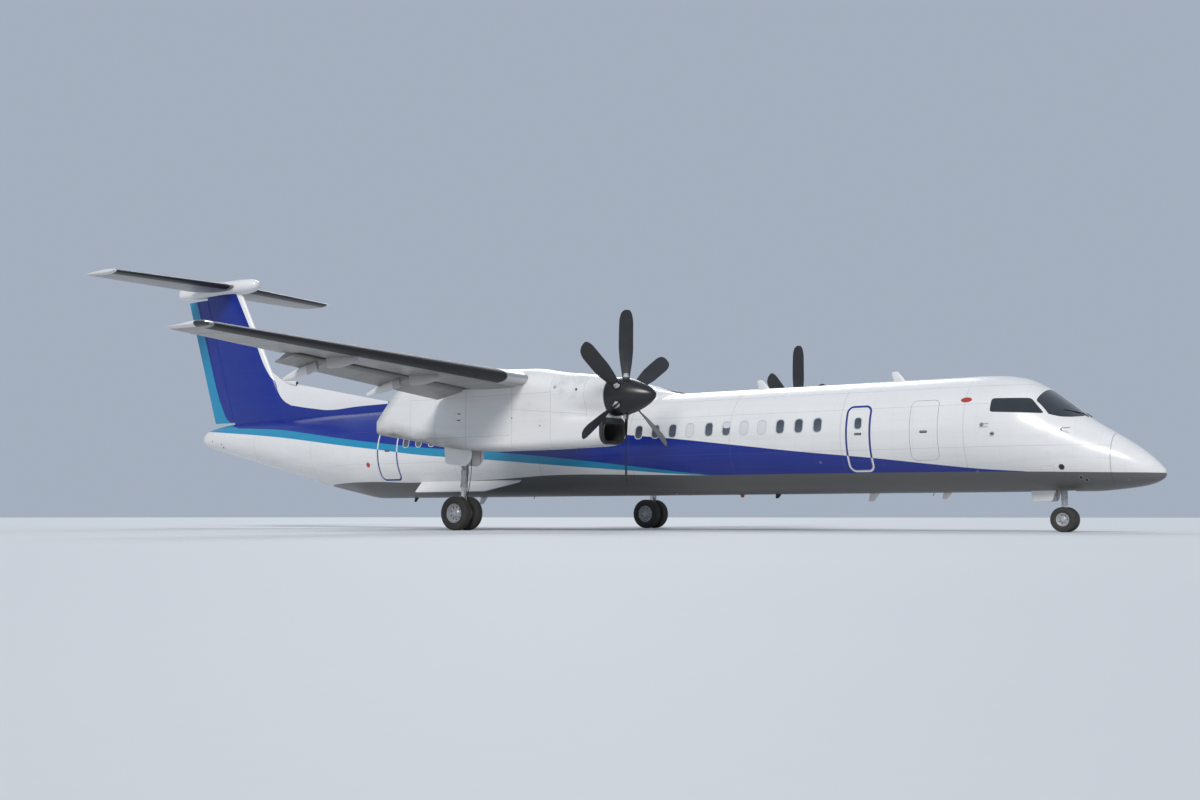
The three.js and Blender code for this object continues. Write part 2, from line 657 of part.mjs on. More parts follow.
for (const [side, sign] of [["left", 1], ["right", -1]]) {
  const y = sign * NACELLE_Y;
  const body = loft(NACELLE.map((row) => nacelleRing(sign, row)));
  const slope = new THREE.Vector3(-1, 0, 1).normalize();
  const outlet = at(EXHAUST.station, y, EXHAUST.height);
  const rearCut = solid(new THREE.BoxGeometry(3000, 3000, 3000),
    along(outlet, outlet.clone().add(slope)).setPosition(outlet.clone().addScaledVector(slope, 1500)));
  const pipe = (r, from, to) => bar(
    outlet.clone().addScaledVector(slope, from), outlet.clone().addScaledVector(slope, to), r, 16);
  const bay = box(
    at(ENGINE_BAY.aft, y - ENGINE_BAY.halfWidth, ENGINE_BAY.low),
    at(ENGINE_BAY.fore, y + ENGINE_BAY.halfWidth, ENGINE_BAY.high));
  const mouth = bar(at(11300, y, THRUST_HEIGHT), at(11700, y, THRUST_HEIGHT), GEARBOX.bayRadius, 24);
  const intake = slabAcross(y, INTAKE);
  const wheelBay = box(
    at(WHEEL_BAY.aft, y - WHEEL_BAY.halfWidth, -900),
    at(WHEEL_BAY.fore, y + WHEEL_BAY.halfWidth, WHEEL_BAY.top));
  const flapSides = [FLAPS[0], FLAPS[1]].map(([, inner, outer]) => flapSpace(sign, inner - 12, outer + 12));
  const nacelle = cut(body, [
    rearCut, wingGrown, outerWingRoot(sign), pipe(EXHAUST.outer + GAP, -EXHAUST.depth, 100), bay, mouth,
    intake, wheelBay, ...flapSides,
  ]);
  addPiece(`nacelle_${side}`, nacelle, WHITE);
  addPiece(`exhaust_${side}`, pipe(EXHAUST.outer, -EXHAUST.depth + GAP, 60).subtract(
    pipe(EXHAUST.inner, -EXHAUST.depth + 60, 100)), SOOTY);
  const block = box(
    at(ENGINE_SIZE.aft, y - ENGINE_SIZE.halfWidth, ENGINE_BAY.low + GAP),
    at(ENGINE_SIZE.fore, y + ENGINE_SIZE.halfWidth, ENGINE_SIZE.high));
  const gearbox = bar(at(ENGINE_SIZE.fore + 10, y, THRUST_HEIGHT), at(GEARBOX.fore, y, THRUST_HEIGHT),
    GEARBOX.radius, 20);
  addPiece(`engine_${side}`, block.add(gearbox), ENGINE);
}

// The outer panel's root, grown by the touching gap, where it lies in the nacelle
function outerWingRoot(sign) {
  return wingBody(sign, [WING_JOINT_Y - 1, WING_JOINT_Y + 400], 0.99, GAP);
}

// Air intake under the spinner: an oblong duct that narrows aft
function slabAcross(y, { fore, aft, low, high, halfWidth }) {
  const ring = (station, shrink) => {
    const wide = halfWidth - shrink;
    const outline = roundedOutline(-wide, wide, low, high - shrink, 150);
    return outline.map(([across, height]) => at(station, y + across, height));
  };
  return loft([ring(fore, 0), ring(aft, 120)]);
}

// Propellers

const SPINNER = [ // station, radius
  [10240, 0], [10260, 55], [10330, 130], [10480, 230],
  [10700, 335], [10900, 405], [11120, 448], [11390, 462],
];
const SPINNER_WALL = 14;
const BLADE_ROWS = [ // radius, chord, thickness, pitch, lean aft of the blade axis
  [330, 150, 130, 55, 0], [520, 200, 95, 52, 0], [800, 290, 58, 44, 0], [1200, 370, 36, 34, 0],
  [1750, 380, 22, 27, 8], [1980, 290, 15, 24, 20], [PROP_RADIUS, 130, 9, 23, 40],
];
const BLADE_ROOT = { radius: 92, hole: 104 };

// Points round a blade section: share of its chord, share of its thickness
const BLADE_SECTION = [
  [0.5, 0.1], [0.1, 0.5], [-0.35, 0.4], [-0.5, 0], [-0.35, -0.34], [0.1, -0.4], [0.5, -0.1],
];
function bladeRing([r, chord, thick, pitch, lean]) {
  const a = rad(pitch);
  return BLADE_SECTION.map(([c, t]) => {
    const u = c * chord + lean;
    const v = t * thick;
    return new THREE.Vector3(u * Math.sin(a) + v * Math.cos(a), u * Math.cos(a) - v * Math.sin(a), r);
  });
}

for (const [side, sign] of [["left", 1], ["right", -1]]) {
  const y = sign * NACELLE_Y;
  const onShaft = (station) => at(station, y, THRUST_HEIGHT);
  const blade = join([
    loft(BLADE_ROWS.map(bladeRing)),
    solid(new THREE.CylinderGeometry(BLADE_ROOT.radius, BLADE_ROOT.radius, 420, 8),
      along(new THREE.Vector3(0, 0, 120), new THREE.Vector3(0, 0, 540))),
  ]);
  const turned = Array.from({ length: BLADES }, (_, i) => {
    const spin = new THREE.Matrix4().makeRotationX((2 * Math.PI * i) / BLADES);
    const seat = new THREE.Matrix4().makeTranslation(...onShaft(PROP_STATION));
    return blade.transform(seat.multiply(spin).elements);
  });
  const hub = join([
    bar(onShaft(10930), onShaft(11250), 260, 12), bar(onShaft(11200), onShaft(GEARBOX.fore - GAP), 120, 12),
    bar(onShaft(SPINNER.at(-1)[0] + GAP), onShaft(SPINNER.at(-1)[0] + 22), 457, 24),
  ]);
  addPiece(`propeller_${side}`, join([hub, ...turned]), BLADE);

  const outer = SPINNER.map(([station, radius]) => new THREE.Vector2(radius, -station));
  const inner = SPINNER.filter((_, i) => i % 2 === 1).map(([station, radius]) =>
    new THREE.Vector2(Math.max(0, radius - SPINNER_WALL), -(station + SPINNER_WALL)));
  inner.at(-1).y = outer.at(-1).y;
  const tip = new THREE.Vector2(0, -SPINNER[1][0] - 40);
  const profile = [...outer, ...inner.reverse().slice(0, -1), tip, outer[0]];
  const toShaft = new THREE.Matrix4().makeTranslation(NOSE_X, y, CENTRELINE_Z + THRUST_HEIGHT)
    .multiply(new THREE.Matrix4().makeRotationZ(-Math.PI / 2));
  const shell = solid(new THREE.LatheGeometry(profile, 20), toShaft);
  const holes = Array.from({ length: BLADES }, (_, i) => {
    const a = (2 * Math.PI * i) / BLADES;
    const out = new THREE.Vector3(0, -Math.sin(a), Math.cos(a)).multiplyScalar(700);
    const seat = onShaft(PROP_STATION);
    return bar(seat.clone().addScaledVector(out, 0.2), seat.clone().add(out), BLADE_ROOT.hole, 10);
  });
  addPiece(`spinner_${side}`, cut(shell, holes), DARK);
  hinges[`prop_spin_${side}`] = { pos: onShaft(PROP_STATION), axis: new THREE.Vector3(1, 0, 0) };
}

// Tail

const FIN = [ // span is the height, offset is across
  { span: 900, le: 27080, chord: 3750, offset: 0, thickness: 0.11, camber: 0, incidence: 0 },
  { span: 5800, le: 29850, chord: 2710, offset: 0, thickness: 0.11, camber: 0, incidence: 0 },
];
const FORE_RUDDER_DEPTH = 1050;
const REAR_RUDDER_DEPTH = 530;
const RUDDER_LOW = 1235;
const RUDDER_HIGH = 5510;
const finPoint = (span) => ([station, offset]) => at(station, offset, span);
const finWall = (row, depth) => {
  const ring = hingedRing(row, depth);
  return (ring.station - ring.radius - FLAP_SHELF - row.le) / row.chord;
};
const DORSAL = [ // station, ridge height, half width at the crown
  [20800, 1352, 20], [23060, 1665, 68], [24420, 1915, 95], [27000, 2390, 128], [27500, 2480, 138],
  [28200, 2860, 130],
];

const BULLET = [ // station, half width, half height
  [28940, 20, 20], [29000, 90, 85], [29180, 170, 165], [29500, 235, 222], [30100, 275, 250],
  [31200, 275, 252], [32100, 215, 225], [32600, 130, 165], [LENGTH, 60, 95],
];
const BULLET_HEIGHT = HEIGHT - CENTRELINE_Z - 252;
const TAILPLANE = [
  { span: 0, le: 29820, chord: 2180, offset: BULLET_HEIGHT, thickness: 0.12, camber: 0, incidence: 0 },
  { span: 4635, le: 30410, chord: 1550, offset: BULLET_HEIGHT, thickness: 0.11, camber: 0, incidence: 0 },
];
const ELEVATOR_DEPTH = 620;
const ELEVATOR_INNER_Y = 330;
const ELEVATOR_OUTER_Y = 4420;

const bulletBody = (grow) => loft(BULLET.map(([station, wide, tall], i) => {
  const end = (i === 0 ? -grow : 0) + (i === BULLET.length - 1 ? grow : 0);
  return ovalRing(station + end, BULLET_HEIGHT + tall, BULLET_HEIGHT - tall, wide, grow, 20);
}));
const tailBody = (sign, spans, rear, grow = 0) => panel(TAILPLANE, wingPoint(sign), spans,
  (row) => frontRing(row, rear(row), grow));
const elevatorWall = (row) => finWall(row, ELEVATOR_DEPTH);
const tailplane = join([1, -1].map((sign) => join([
  tailBody(sign, [0, ELEVATOR_OUTER_Y + 14], elevatorWall),
  tailBody(sign, [ELEVATOR_OUTER_Y + 13, 4635], () => 1),
])));
const elevatorEnds = [ELEVATOR_INNER_Y, ELEVATOR_OUTER_Y].map((span) => (
  { ...hingedRing(rowAt(TAILPLANE, span), ELEVATOR_DEPTH), span }));
const elevatorHinges = (sign) => brackets(hingeLine(elevatorEnds, sign), HINGE_SHARES);
addPiece("tailplane", join([tailplane, arms(elevatorHinges(1)), arms(elevatorHinges(-1))]), GREY);
const tailplaneGrown = join([1, -1].map((sign) => tailBody(sign, [0, 1200], elevatorWall, GAP)));
addPiece("tail_bullet", cut(bulletBody(0), [tailplaneGrown]), WHITE);

const finFront = loft(FIN.map((row) =>
  frontRing(row, finWall(row, FORE_RUDDER_DEPTH)).map(finPoint(row.span))));
const ridge = loft(DORSAL.map(([station, height, wide]) => [
  at(station, wide, 1180), at(station, wide * 0.62, lerp(1180, height, 0.6)), at(station, 14, height),
  at(station, -14, height), at(station, -wide * 0.62, lerp(1180, height, 0.6)), at(station, -wide, 1180),
]));

const rudderRows = [RUDDER_LOW, RUDDER_HIGH].map((span) => rowAt(FIN, span));
const rearRings = rudderRows.map((row) => hingedRing(row, REAR_RUDDER_DEPTH));
const rearRudder = loft(rearRings.map((ring, i) => ring.points.map(finPoint(rudderRows[i].span))));
const rudderHinges = (rings) => brackets(rings.map((ring, i) => (
  { pos: at(ring.station, 0, rudderRows[i].span), radius: ring.radius })), HINGE_SHARES);
const rearHinges = rudderHinges(rearRings);
addPiece("trailing_rudder", cut(rearRudder, notches(rearHinges)), CYAN);
const foreRings = rudderRows.map((row, i) => {
  const ring = hingedRing(row, FORE_RUDDER_DEPTH);
  const wall = (rearRings[i].station - rearRings[i].radius - FLAP_SHELF - row.le) / row.chord;
  const points = [skin(row, wall, 1), ...ring.points.slice(2, -2), skin(row, wall, -1)];
  return { ...ring, points };
});
const foreRudder = loft(foreRings.map((ring, i) => ring.points.map(finPoint(rudderRows[i].span))));
const foreHinges = rudderHinges(foreRings);
addPiece("fore_rudder", cut(foreRudder, notches(foreHinges)).add(arms(rearHinges)), BLUE);
addPiece("fin", cut(join([finFront, ridge, arms(foreHinges)]),
  [hull(GAP, 20000), bulletBody(GAP), tailplaneGrown]), BLUE);
for (const [name, rings] of [["fore_rudder", foreRings], ["trailing_rudder", rearRings]]) {
  const line = rings.map((ring, i) => at(ring.station, 0, rudderRows[i].span));
  const axis = new THREE.Vector3().subVectors(line[1], line[0]).normalize();
  hinges[name] = { pos: line[0].clone().add(line[1]).multiplyScalar(0.5), axis };
}
for (const [side, sign] of [["left", 1], ["right", -1]]) {
  const elevator = loft(elevatorEnds.map((ring) => ring.points.map(wingPoint(sign)(ring.span))));
  addPiece(`elevator_${side}`, cut(elevator, notches(elevatorHinges(sign))), GREY);
  hinges[`elevator_${side}`] = axisThrough(hingeLine(elevatorEnds, sign).map((end) => end.pos), sign);
}

// Landing gear

const WHEEL_SIDES = 24;
const AXLE_SIDES = 16;
const groundPoint = (station, y, z) => new THREE.Vector3(NOSE_X - station, y, z);

// Tyre with its tread flat on the ground, on a rim
function tyre(size, station, y) {
  const { radius, width, rim } = size;
  const outer = radius / Math.cos(Math.PI / WHEEL_SIDES);
  const half = width / 2;
  const profile = [
    [rim + GAP, -half * 0.75], [lerp(rim, outer, 0.25), -half * 0.96], [lerp(rim, outer, 0.62), -half],
    [outer - width * 0.09, -half * 0.8], [outer, -half * 0.45], [outer, half * 0.45],
    [outer - width * 0.09, half * 0.8], [lerp(rim, outer, 0.62), half],
    [lerp(rim, outer, 0.25), half * 0.96], [rim + GAP, half * 0.75],
  ];
  const points = [...profile, profile[0]].map(([r, a]) => new THREE.Vector2(r, a));
  const place = new THREE.Matrix4().makeTranslation(NOSE_X - station, y, radius)
    .multiply(new THREE.Matrix4().makeRotationY(Math.PI / WHEEL_SIDES));
  return solid(new THREE.LatheGeometry(points, WHEEL_SIDES), place);
}

// Two rims on one axle
function wheelPair(size, station, y, axleRadius) {
  const { radius, width, rim, spacing } = size;
  const half = width / 2;
  const centre = (across) => groundPoint(station, y + across, radius);
  const rims = [-1, 1].map((s) => {
    const outline = [
      [0, -half * 0.62], [rim, -half * 0.62], [rim, half * 0.7], [rim * 0.62, half * 0.1],
      [rim * 0.36, half * 0.6], [0, half * 0.6],
    ];
    const disc = new THREE.LatheGeometry(outline.map(([r, a]) => new THREE.Vector2(r, a * s)), WHEEL_SIDES);
    return solid(disc, new THREE.Matrix4().makeTranslation(NOSE_X - station, y + s * spacing, radius)
      .multiply(new THREE.Matrix4().makeRotationY(Math.PI / WHEEL_SIDES)));
  });
  return join([...rims, bar(centre(-spacing), centre(spacing), axleRadius, AXLE_SIDES)]);
}

const MAIN_AXLE = 48;
const NOSE_AXLE = 30;
const AXLE_PLAY = 0.95;
const NOSE_TUBE = 45;
const TUBE_PLAY = 0.7;
const TUBE_SIDES = 24;

for (const [side, sign] of [["left", 1], ["right", -1]]) {
  const y = sign * NACELLE_Y;
  const bayTop = CENTRELINE_Z + WHEEL_BAY.top;
  const point = (station, across, z) => groundPoint(station, y + across, z);
  const trunnion = { station: 15960, z: 2380 };
  const strutFoot = point(MAIN_GEAR_STATION - 8, 0, MAIN_TYRE.radius + 60);
  const strutTop = point(trunnion.station, 0, trunnion.z);
  const elbow = strutFoot.clone().lerp(strutTop, 0.52);
  const wall = WHEEL_BAY.halfWidth - GAP;
  const acrossBay = (station, z, half, radius, sides) =>
    bar(point(station, -half, z), point(station, half, z), radius, sides);
  const anchor = { station: WHEEL_BAY.aft - 70, z: bayTop - 250 };
  const linkKnee = point(MAIN_GEAR_STATION - 150, 0, 700);
  const leg = join([
    bar(strutFoot, strutTop, 62, 10),
    bar(strutFoot.clone().lerp(strutTop, 0.33), strutTop, 92, 10),
    acrossBay(trunnion.station, trunnion.z, wall, 60, 8),
    bar(elbow, point(trunnion.station, -190, trunnion.z), 42, 8),
    bar(elbow, point(trunnion.station, 190, trunnion.z), 42, 8),
    bar(elbow, point(anchor.station, 0, anchor.z), 48, 8),
    acrossBay(anchor.station, anchor.z, wall, 45, 8),
    bar(strutFoot, linkKnee, 26, 6),
    bar(linkKnee, strutFoot.clone().lerp(strutTop, 0.36), 26, 6),
    acrossBay(MAIN_GEAR_STATION, MAIN_TYRE.radius, 72, 86, AXLE_SIDES),
    box(point(MAIN_GEAR_STATION + 55, -55, MAIN_TYRE.radius - 120),
      point(MAIN_GEAR_STATION - 55, 55, MAIN_TYRE.radius - 60)),
  ]);
  const bore = acrossBay(MAIN_GEAR_STATION, MAIN_TYRE.radius, 120, MAIN_AXLE + AXLE_PLAY, AXLE_SIDES);
  addPiece(`main_leg_${side}`, leg.subtract(bore), STEEL);
  addPiece(`main_wheels_${side}`, wheelPair(MAIN_TYRE, MAIN_GEAR_STATION, y, MAIN_AXLE), HUB);
  for (const [place, across] of [["inner", -sign], ["outer", sign]]) {
    const tyreY = y + across * MAIN_TYRE.spacing;
    addPiece(`main_tyre_${side}_${place}`, tyre(MAIN_TYRE, MAIN_GEAR_STATION, tyreY), TYRE);
    const outline = [
      [WHEEL_BAY.fore + 20, 60], [WHEEL_BAY.aft - 20, 60], [WHEEL_BAY.aft - 60, -560],
      [WHEEL_BAY.fore + 200, -640], [WHEEL_BAY.fore + 20, -470],
    ];
    const [doorOut, doorIn] = [GAP, 22].map((inset) => y + across * (WHEEL_BAY.halfWidth - inset));
    addPiece(`main_gear_door_${side}_${place}`, slab(outline, doorOut, doorIn), WHITE);
  }
  hinges[`main_wheel_spin_${side}`] = {
    pos: point(MAIN_GEAR_STATION, 0, MAIN_TYRE.radius), axis: new THREE.Vector3(0, 1, 0),
  };
}

const nosePoint = (forward, across, z) => groundPoint(NOSE_GEAR_STATION - forward, across, z);
const noseBayWall = NOSE_BAY.halfWidth - GAP;
const collarZ = 600;
const noseLeg = cut(join([
  bar(nosePoint(0, 0, collarZ), nosePoint(0, 0, 1340), 72, 16),
  bar(nosePoint(0, -noseBayWall, 1290), nosePoint(0, noseBayWall, 1290), 45, 12),
  bar(nosePoint(0, 0, 905), nosePoint(-600, 0, 1325), 34, 10),
  bar(nosePoint(-600, -noseBayWall, 1330), nosePoint(-600, noseBayWall, 1330), 34, 12),
]), [bar(nosePoint(0, 0, 500), nosePoint(0, 0, 880), NOSE_TUBE + TUBE_PLAY, TUBE_SIDES)]);
addPiece("nose_leg", noseLeg, STEEL);
const noseAcross = (half, radius, sides) =>
  bar(nosePoint(0, -half, NOSE_TYRE.radius), nosePoint(0, half, NOSE_TYRE.radius), radius, sides);
const noseFork = cut(join([
  bar(nosePoint(0, 0, NOSE_TYRE.radius + 30), nosePoint(0, 0, 860), NOSE_TUBE, TUBE_SIDES),
  noseAcross(44, 58, 20),
  box(nosePoint(-40, -30, NOSE_TYRE.radius), nosePoint(95, 30, NOSE_TYRE.radius + 42)),
  box(nosePoint(30, -42, NOSE_TYRE.radius - 20), nosePoint(110, 42, NOSE_TYRE.radius + 52)),
]), [noseAcross(80, NOSE_AXLE + AXLE_PLAY, AXLE_SIDES)]);
addPiece("nose_steering_fork", noseFork, STEEL);
addPiece("nose_wheels", wheelPair(NOSE_TYRE, NOSE_GEAR_STATION, 0, NOSE_AXLE), HUB);
for (const [side, sign] of [["left", 1], ["right", -1]]) {
  addPiece(`nose_tyre_${side}`, tyre(NOSE_TYRE, NOSE_GEAR_STATION, sign * NOSE_TYRE.spacing), TYRE);
  const outline = [[NOSE_BAY.fore + 420, -1290], [NOSE_BAY.aft - 15, -1290], [NOSE_BAY.aft - 50, -1560],
    [NOSE_BAY.fore + 500, -1560]];
  addPiece(`nose_gear_door_${side}`,
    slab(outline, sign * (NOSE_BAY.halfWidth - GAP), sign * (NOSE_BAY.halfWidth - 18)), WHITE);
}
hinges.nose_steer = { pos: nosePoint(0, 0, NOSE_TYRE.radius), axis: new THREE.Vector3(0, 0, 1) };
hinges.nose_wheel_spin = { pos: nosePoint(0, 0, NOSE_TYRE.radius), axis: new THREE.Vector3(0, 1, 0) };

airliner.userData.hinges = hinges;
export default airliner;
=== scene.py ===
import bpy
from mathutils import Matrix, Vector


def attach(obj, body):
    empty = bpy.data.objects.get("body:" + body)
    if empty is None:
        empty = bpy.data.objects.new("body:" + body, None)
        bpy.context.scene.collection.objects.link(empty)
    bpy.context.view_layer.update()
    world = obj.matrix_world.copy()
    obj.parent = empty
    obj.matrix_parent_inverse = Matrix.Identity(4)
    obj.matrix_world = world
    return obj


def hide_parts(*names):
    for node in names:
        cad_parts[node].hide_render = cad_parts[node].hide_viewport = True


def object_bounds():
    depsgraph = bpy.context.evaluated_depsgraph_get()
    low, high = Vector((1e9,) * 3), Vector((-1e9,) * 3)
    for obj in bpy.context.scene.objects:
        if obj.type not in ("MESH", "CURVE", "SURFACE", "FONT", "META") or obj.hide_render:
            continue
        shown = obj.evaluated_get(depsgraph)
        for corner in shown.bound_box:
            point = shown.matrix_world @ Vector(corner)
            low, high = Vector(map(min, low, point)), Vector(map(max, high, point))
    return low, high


bl_info = {
    "name": "Turboprop airliner",
    "version": (1, 0, 0),
    "blender": (4, 5, 0),
    "location": "3D View > Sidebar > Airliner",
    "description": "Skins, windows, propellers, landing gear and finishes of a high-wing regional airliner",
    "category": "Object",
}

import math

import bmesh
import bpy
import numpy as np
from mathutils import Matrix, Vector

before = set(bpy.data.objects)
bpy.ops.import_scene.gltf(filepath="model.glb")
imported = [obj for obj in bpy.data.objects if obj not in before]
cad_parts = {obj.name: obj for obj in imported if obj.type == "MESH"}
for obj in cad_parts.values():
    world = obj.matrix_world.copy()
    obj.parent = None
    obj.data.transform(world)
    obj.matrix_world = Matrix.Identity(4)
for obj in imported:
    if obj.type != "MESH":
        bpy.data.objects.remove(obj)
CAD_LOW, CAD_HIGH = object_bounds()

# Places. A station is a distance aft of the nose tip, and a height is measured from the fuselage centre
# line. All lengths are metres.
NOSE_X = CAD_HIGH.x
CENTRE_Z = 2.25
SIDES = (("left", 1), ("right", -1))


def at(station, y, height):
    """Points from stations, distances to port and heights."""
    station, y, height = np.broadcast_arrays(station, y, height)
    return np.stack([NOSE_X - station, y, CENTRE_Z + height], axis=-1).astype(float)


def lerp(a, b, t):
    return a + (b - a) * t


def turns(count):
    """Even angles round a circle."""
    return 2 * np.pi * np.arange(count) / count


class Curve:
    """Smooth curve through a table whose first column is the key; it never overshoots a row."""

    def __init__(self, rows, warp=lambda key: key):
        table = np.array(rows, float)
        self.warp = warp
        self.keys = warp(table[:, 0])
        self.values = table[:, 1:]
        step = np.diff(self.keys)[:, None]
        slope = np.diff(self.values, axis=0) / step
        self.slopes = np.zeros_like(self.values)
        self.slopes[0] = slope[0]
        self.slopes[-1] = slope[-1]
        before, after = slope[:-1], slope[1:]
        w1 = 2 * step[1:] + step[:-1]
        w2 = step[1:] + 2 * step[:-1]
        with np.errstate(divide="ignore", invalid="ignore"):
            mean = (w1 + w2) / (w1 / before + w2 / after)
        self.slopes[1:-1] = np.where(before * after > 0, mean, 0)

    def __call__(self, key):
        x = np.clip(self.warp(np.asarray(key, float)), self.keys[0], self.keys[-1])
        i = np.clip(np.searchsorted(self.keys, x, side="right") - 1, 0, len(self.keys) - 2)
        step = self.keys[i + 1] - self.keys[i]
        t = ((x - self.keys[i]) / step)[..., None]
        step = step[..., None]
        first = (1 + 2 * t) * (1 - t) ** 2 * self.values[i] + t * (1 - t) ** 2 * step * self.slopes[i]
        last = t * t * (3 - 2 * t) * self.values[i + 1] + t * t * (t - 1) * step * self.slopes[i + 1]
        return np.moveaxis(first + last, -1, 0)


def spaced(stations, longest):
    """The given stations with even ones between them, none further apart than the longest step."""
    result = [stations[0]]
    for low, high in zip(stations[:-1], stations[1:]):
        count = max(1, math.ceil((high - low) / longest - 1e-6))
        result += [low + (high - low) * (i + 1) / count for i in range(count)]
    return np.array(result)


# Meshes

class Shell:
    """A mesh in the making: points and faces, each face with the number of its finish."""

    def __init__(self):
        self.points = []
        self.faces = []
        self.tints = []
        self.count = 0

    def add(self, points, faces, tint=0):
        points = np.asarray(points, float).reshape(-1, 3)
        tints = np.broadcast_to(tint, len(faces))
        self.points.append(points)
        self.faces += [tuple(int(i) + self.count for i in face) for face in faces]
        self.tints += [int(t) for t in tints]
        self.count += len(points)
        return self

    def merge(self, other, place=None):
        """Adds another shell, moved by a matrix."""
        points = np.concatenate(other.points)
        if place is not None:
            points = points @ np.array(place.to_3x3()).T + np.array(place.translation)
        return self.add(points, other.faces, other.tints)

    def loft(self, rings, tint=0, cap_tint=None, wrap=False):
        """Skin through rings of equal point count. A tint may be given for each point of a ring.

        A wrapped loft joins its last ring to its first."""
        rings = np.asarray(rings, float)
        count, sides = rings.shape[:2]
        i = np.arange(sides)
        faces, tints = [], []
        strips = count if wrap else count - 1
        column = np.broadcast_to(tint, (strips, sides))
        for r in range(strips):
            a = r * sides + i
            b = r * sides + (i + 1) % sides
            up = sides if r < count - 1 else -r * sides
            faces += list(zip(a, b, b + up, a + up))
            tints += list(column[r])
        if not wrap:
            faces += [range(sides - 1, -1, -1), range((count - 1) * sides, count * sides)]
            tints += [tints[0] if cap_tint is None else cap_tint] * 2
        return self.add(rings, faces, tints)

    def tube(self, path, radius, tint=0, sides=12):
        """Round bar along a path; the radius may change from point to point."""
        path = np.asarray(path, float)
        radius = np.broadcast_to(radius, len(path))
        way = np.gradient(path, axis=0)
        way /= np.linalg.norm(way, axis=1)[:, None]
        side = np.cross(way[0], [0.0, 0.0, 1.0])
        if np.linalg.norm(side) < 0.1:
            side = np.cross(way[0], [0.0, 1.0, 0.0])
        rings = []
        for point, forward, r in zip(path, way, radius):
            side = side - forward * side.dot(forward)
            side /= np.linalg.norm(side)
            rings.append(point + r * self.circle(side, np.cross(forward, side), sides))
        return self.loft(rings, tint)

    def tubes(self, rows):
        """Round bars by a table of paths, radii, tints and sides."""
        for row in rows:
            self.tube(*row)

    @staticmethod
    def circle(side, up, sides):
        a = turns(sides)[:, None]
        return np.cos(a) * side + np.sin(a) * up

    def lathe(self, profile, origin, axis, tint=0, sides=48):
        """Profile of (distance along the axis, radius), turned about an axis."""
        axis = np.asarray(axis, float) / np.linalg.norm(axis)
        side = np.cross(axis, [0.0, 0.0, 1.0] if abs(axis[2]) < 0.9 else [1.0, 0.0, 0.0])
        side /= np.linalg.norm(side)
        circle = self.circle(side, np.cross(axis, side), sides)
        return self.loft([np.asarray(origin) + along * axis + r * circle for along, r in profile], tint)

    def block(self, low, high, tint=0, bevel=0.0):
        """Box between two corners with bevelled upright edges."""
        low, high = np.minimum(low, high), np.maximum(low, high)
        b = min(bevel, (high[0] - low[0]) / 2.1, (high[1] - low[1]) / 2.1, (high[2] - low[2]) / 2.1)
        outline = []
        for x, y, turn in ((high[0], high[1], 0), (low[0], high[1], 1), (low[0], low[1], 2),
                           (high[0], low[1], 3)):
            sx, sy = (1 if x == high[0] else -1), (1 if y == high[1] else -1)
            corner = [(x, y - sy * b), (x - sx * b, y)]
            outline += corner if turn % 2 == 0 else corner[::-1]
        outline = np.array(outline)
        middle = outline.mean(axis=0)
        rings = []
        for z, inset in ((low[2], b), (low[2] + b, 0), (high[2] - b, 0), (high[2], b)):
            shrink = 1 - inset / max(high[0] - low[0], high[1] - low[1])
            flat = middle + (outline - middle) * shrink
            rings.append(np.column_stack([flat, np.full(len(flat), z)]))
        return self.loft(rings, tint)

    def mesh(self, name):
        mesh = bpy.data.meshes.new(name)
        mesh.from_pydata(np.concatenate(self.points).tolist(), [], self.faces)
        mesh.polygons.foreach_set("material_index", self.tints)
        turned = bmesh.new()
        turned.from_mesh(mesh)
        bmesh.ops.recalc_face_normals(turned, faces=turned.faces)
        turned.to_mesh(mesh)
        turned.free()
        mesh.update()
        return mesh

    def make(self, name, body, slot, finishes, replaces=(), sharp=32):
        """Makes the piece: smooth but for its sharp edges, riding on a body of the frame."""
        return dress(self.mesh(name), name, body, finishes, replaces, sharp)


def refinish(mesh, materials):
    """Gives a mesh other materials and keeps the number of each face's finish."""
    numbers = np.empty(len(mesh.polygons), int)
    mesh.polygons.foreach_get("material_index", numbers)
    mesh.materials.clear()
    for each in materials:
        mesh.materials.append(each)
    mesh.polygons.foreach_set("material_index", numbers)


def dress(mesh, name, body, finishes, replaces=(), sharp=32):
    """Turns a finished mesh into a piece that rides on a body and stands for the nodes it replaces."""
    refinish(mesh, [material(finish) for finish in finishes])
    if sharp is not None:
        mesh.shade_smooth()
        mesh.set_sharp_from_angle(angle=math.radians(sharp))
    piece = bpy.data.objects.new(name, mesh)
    bpy.context.scene.collection.objects.link(piece)
    if replaces:
        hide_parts(*replaces)
    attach(piece, body)
    return piece


def fine(outline, longest=0.06):
    """The same outline with points added, so that no edge is longer than a step."""
    points = []
    for here, after in zip(outline, np.roll(outline, -1, axis=0)):
        count = max(1, math.ceil(np.linalg.norm(after - here) / longest))
        points += [here + (after - here) * i / count for i in range(count)]
    return np.array(points)


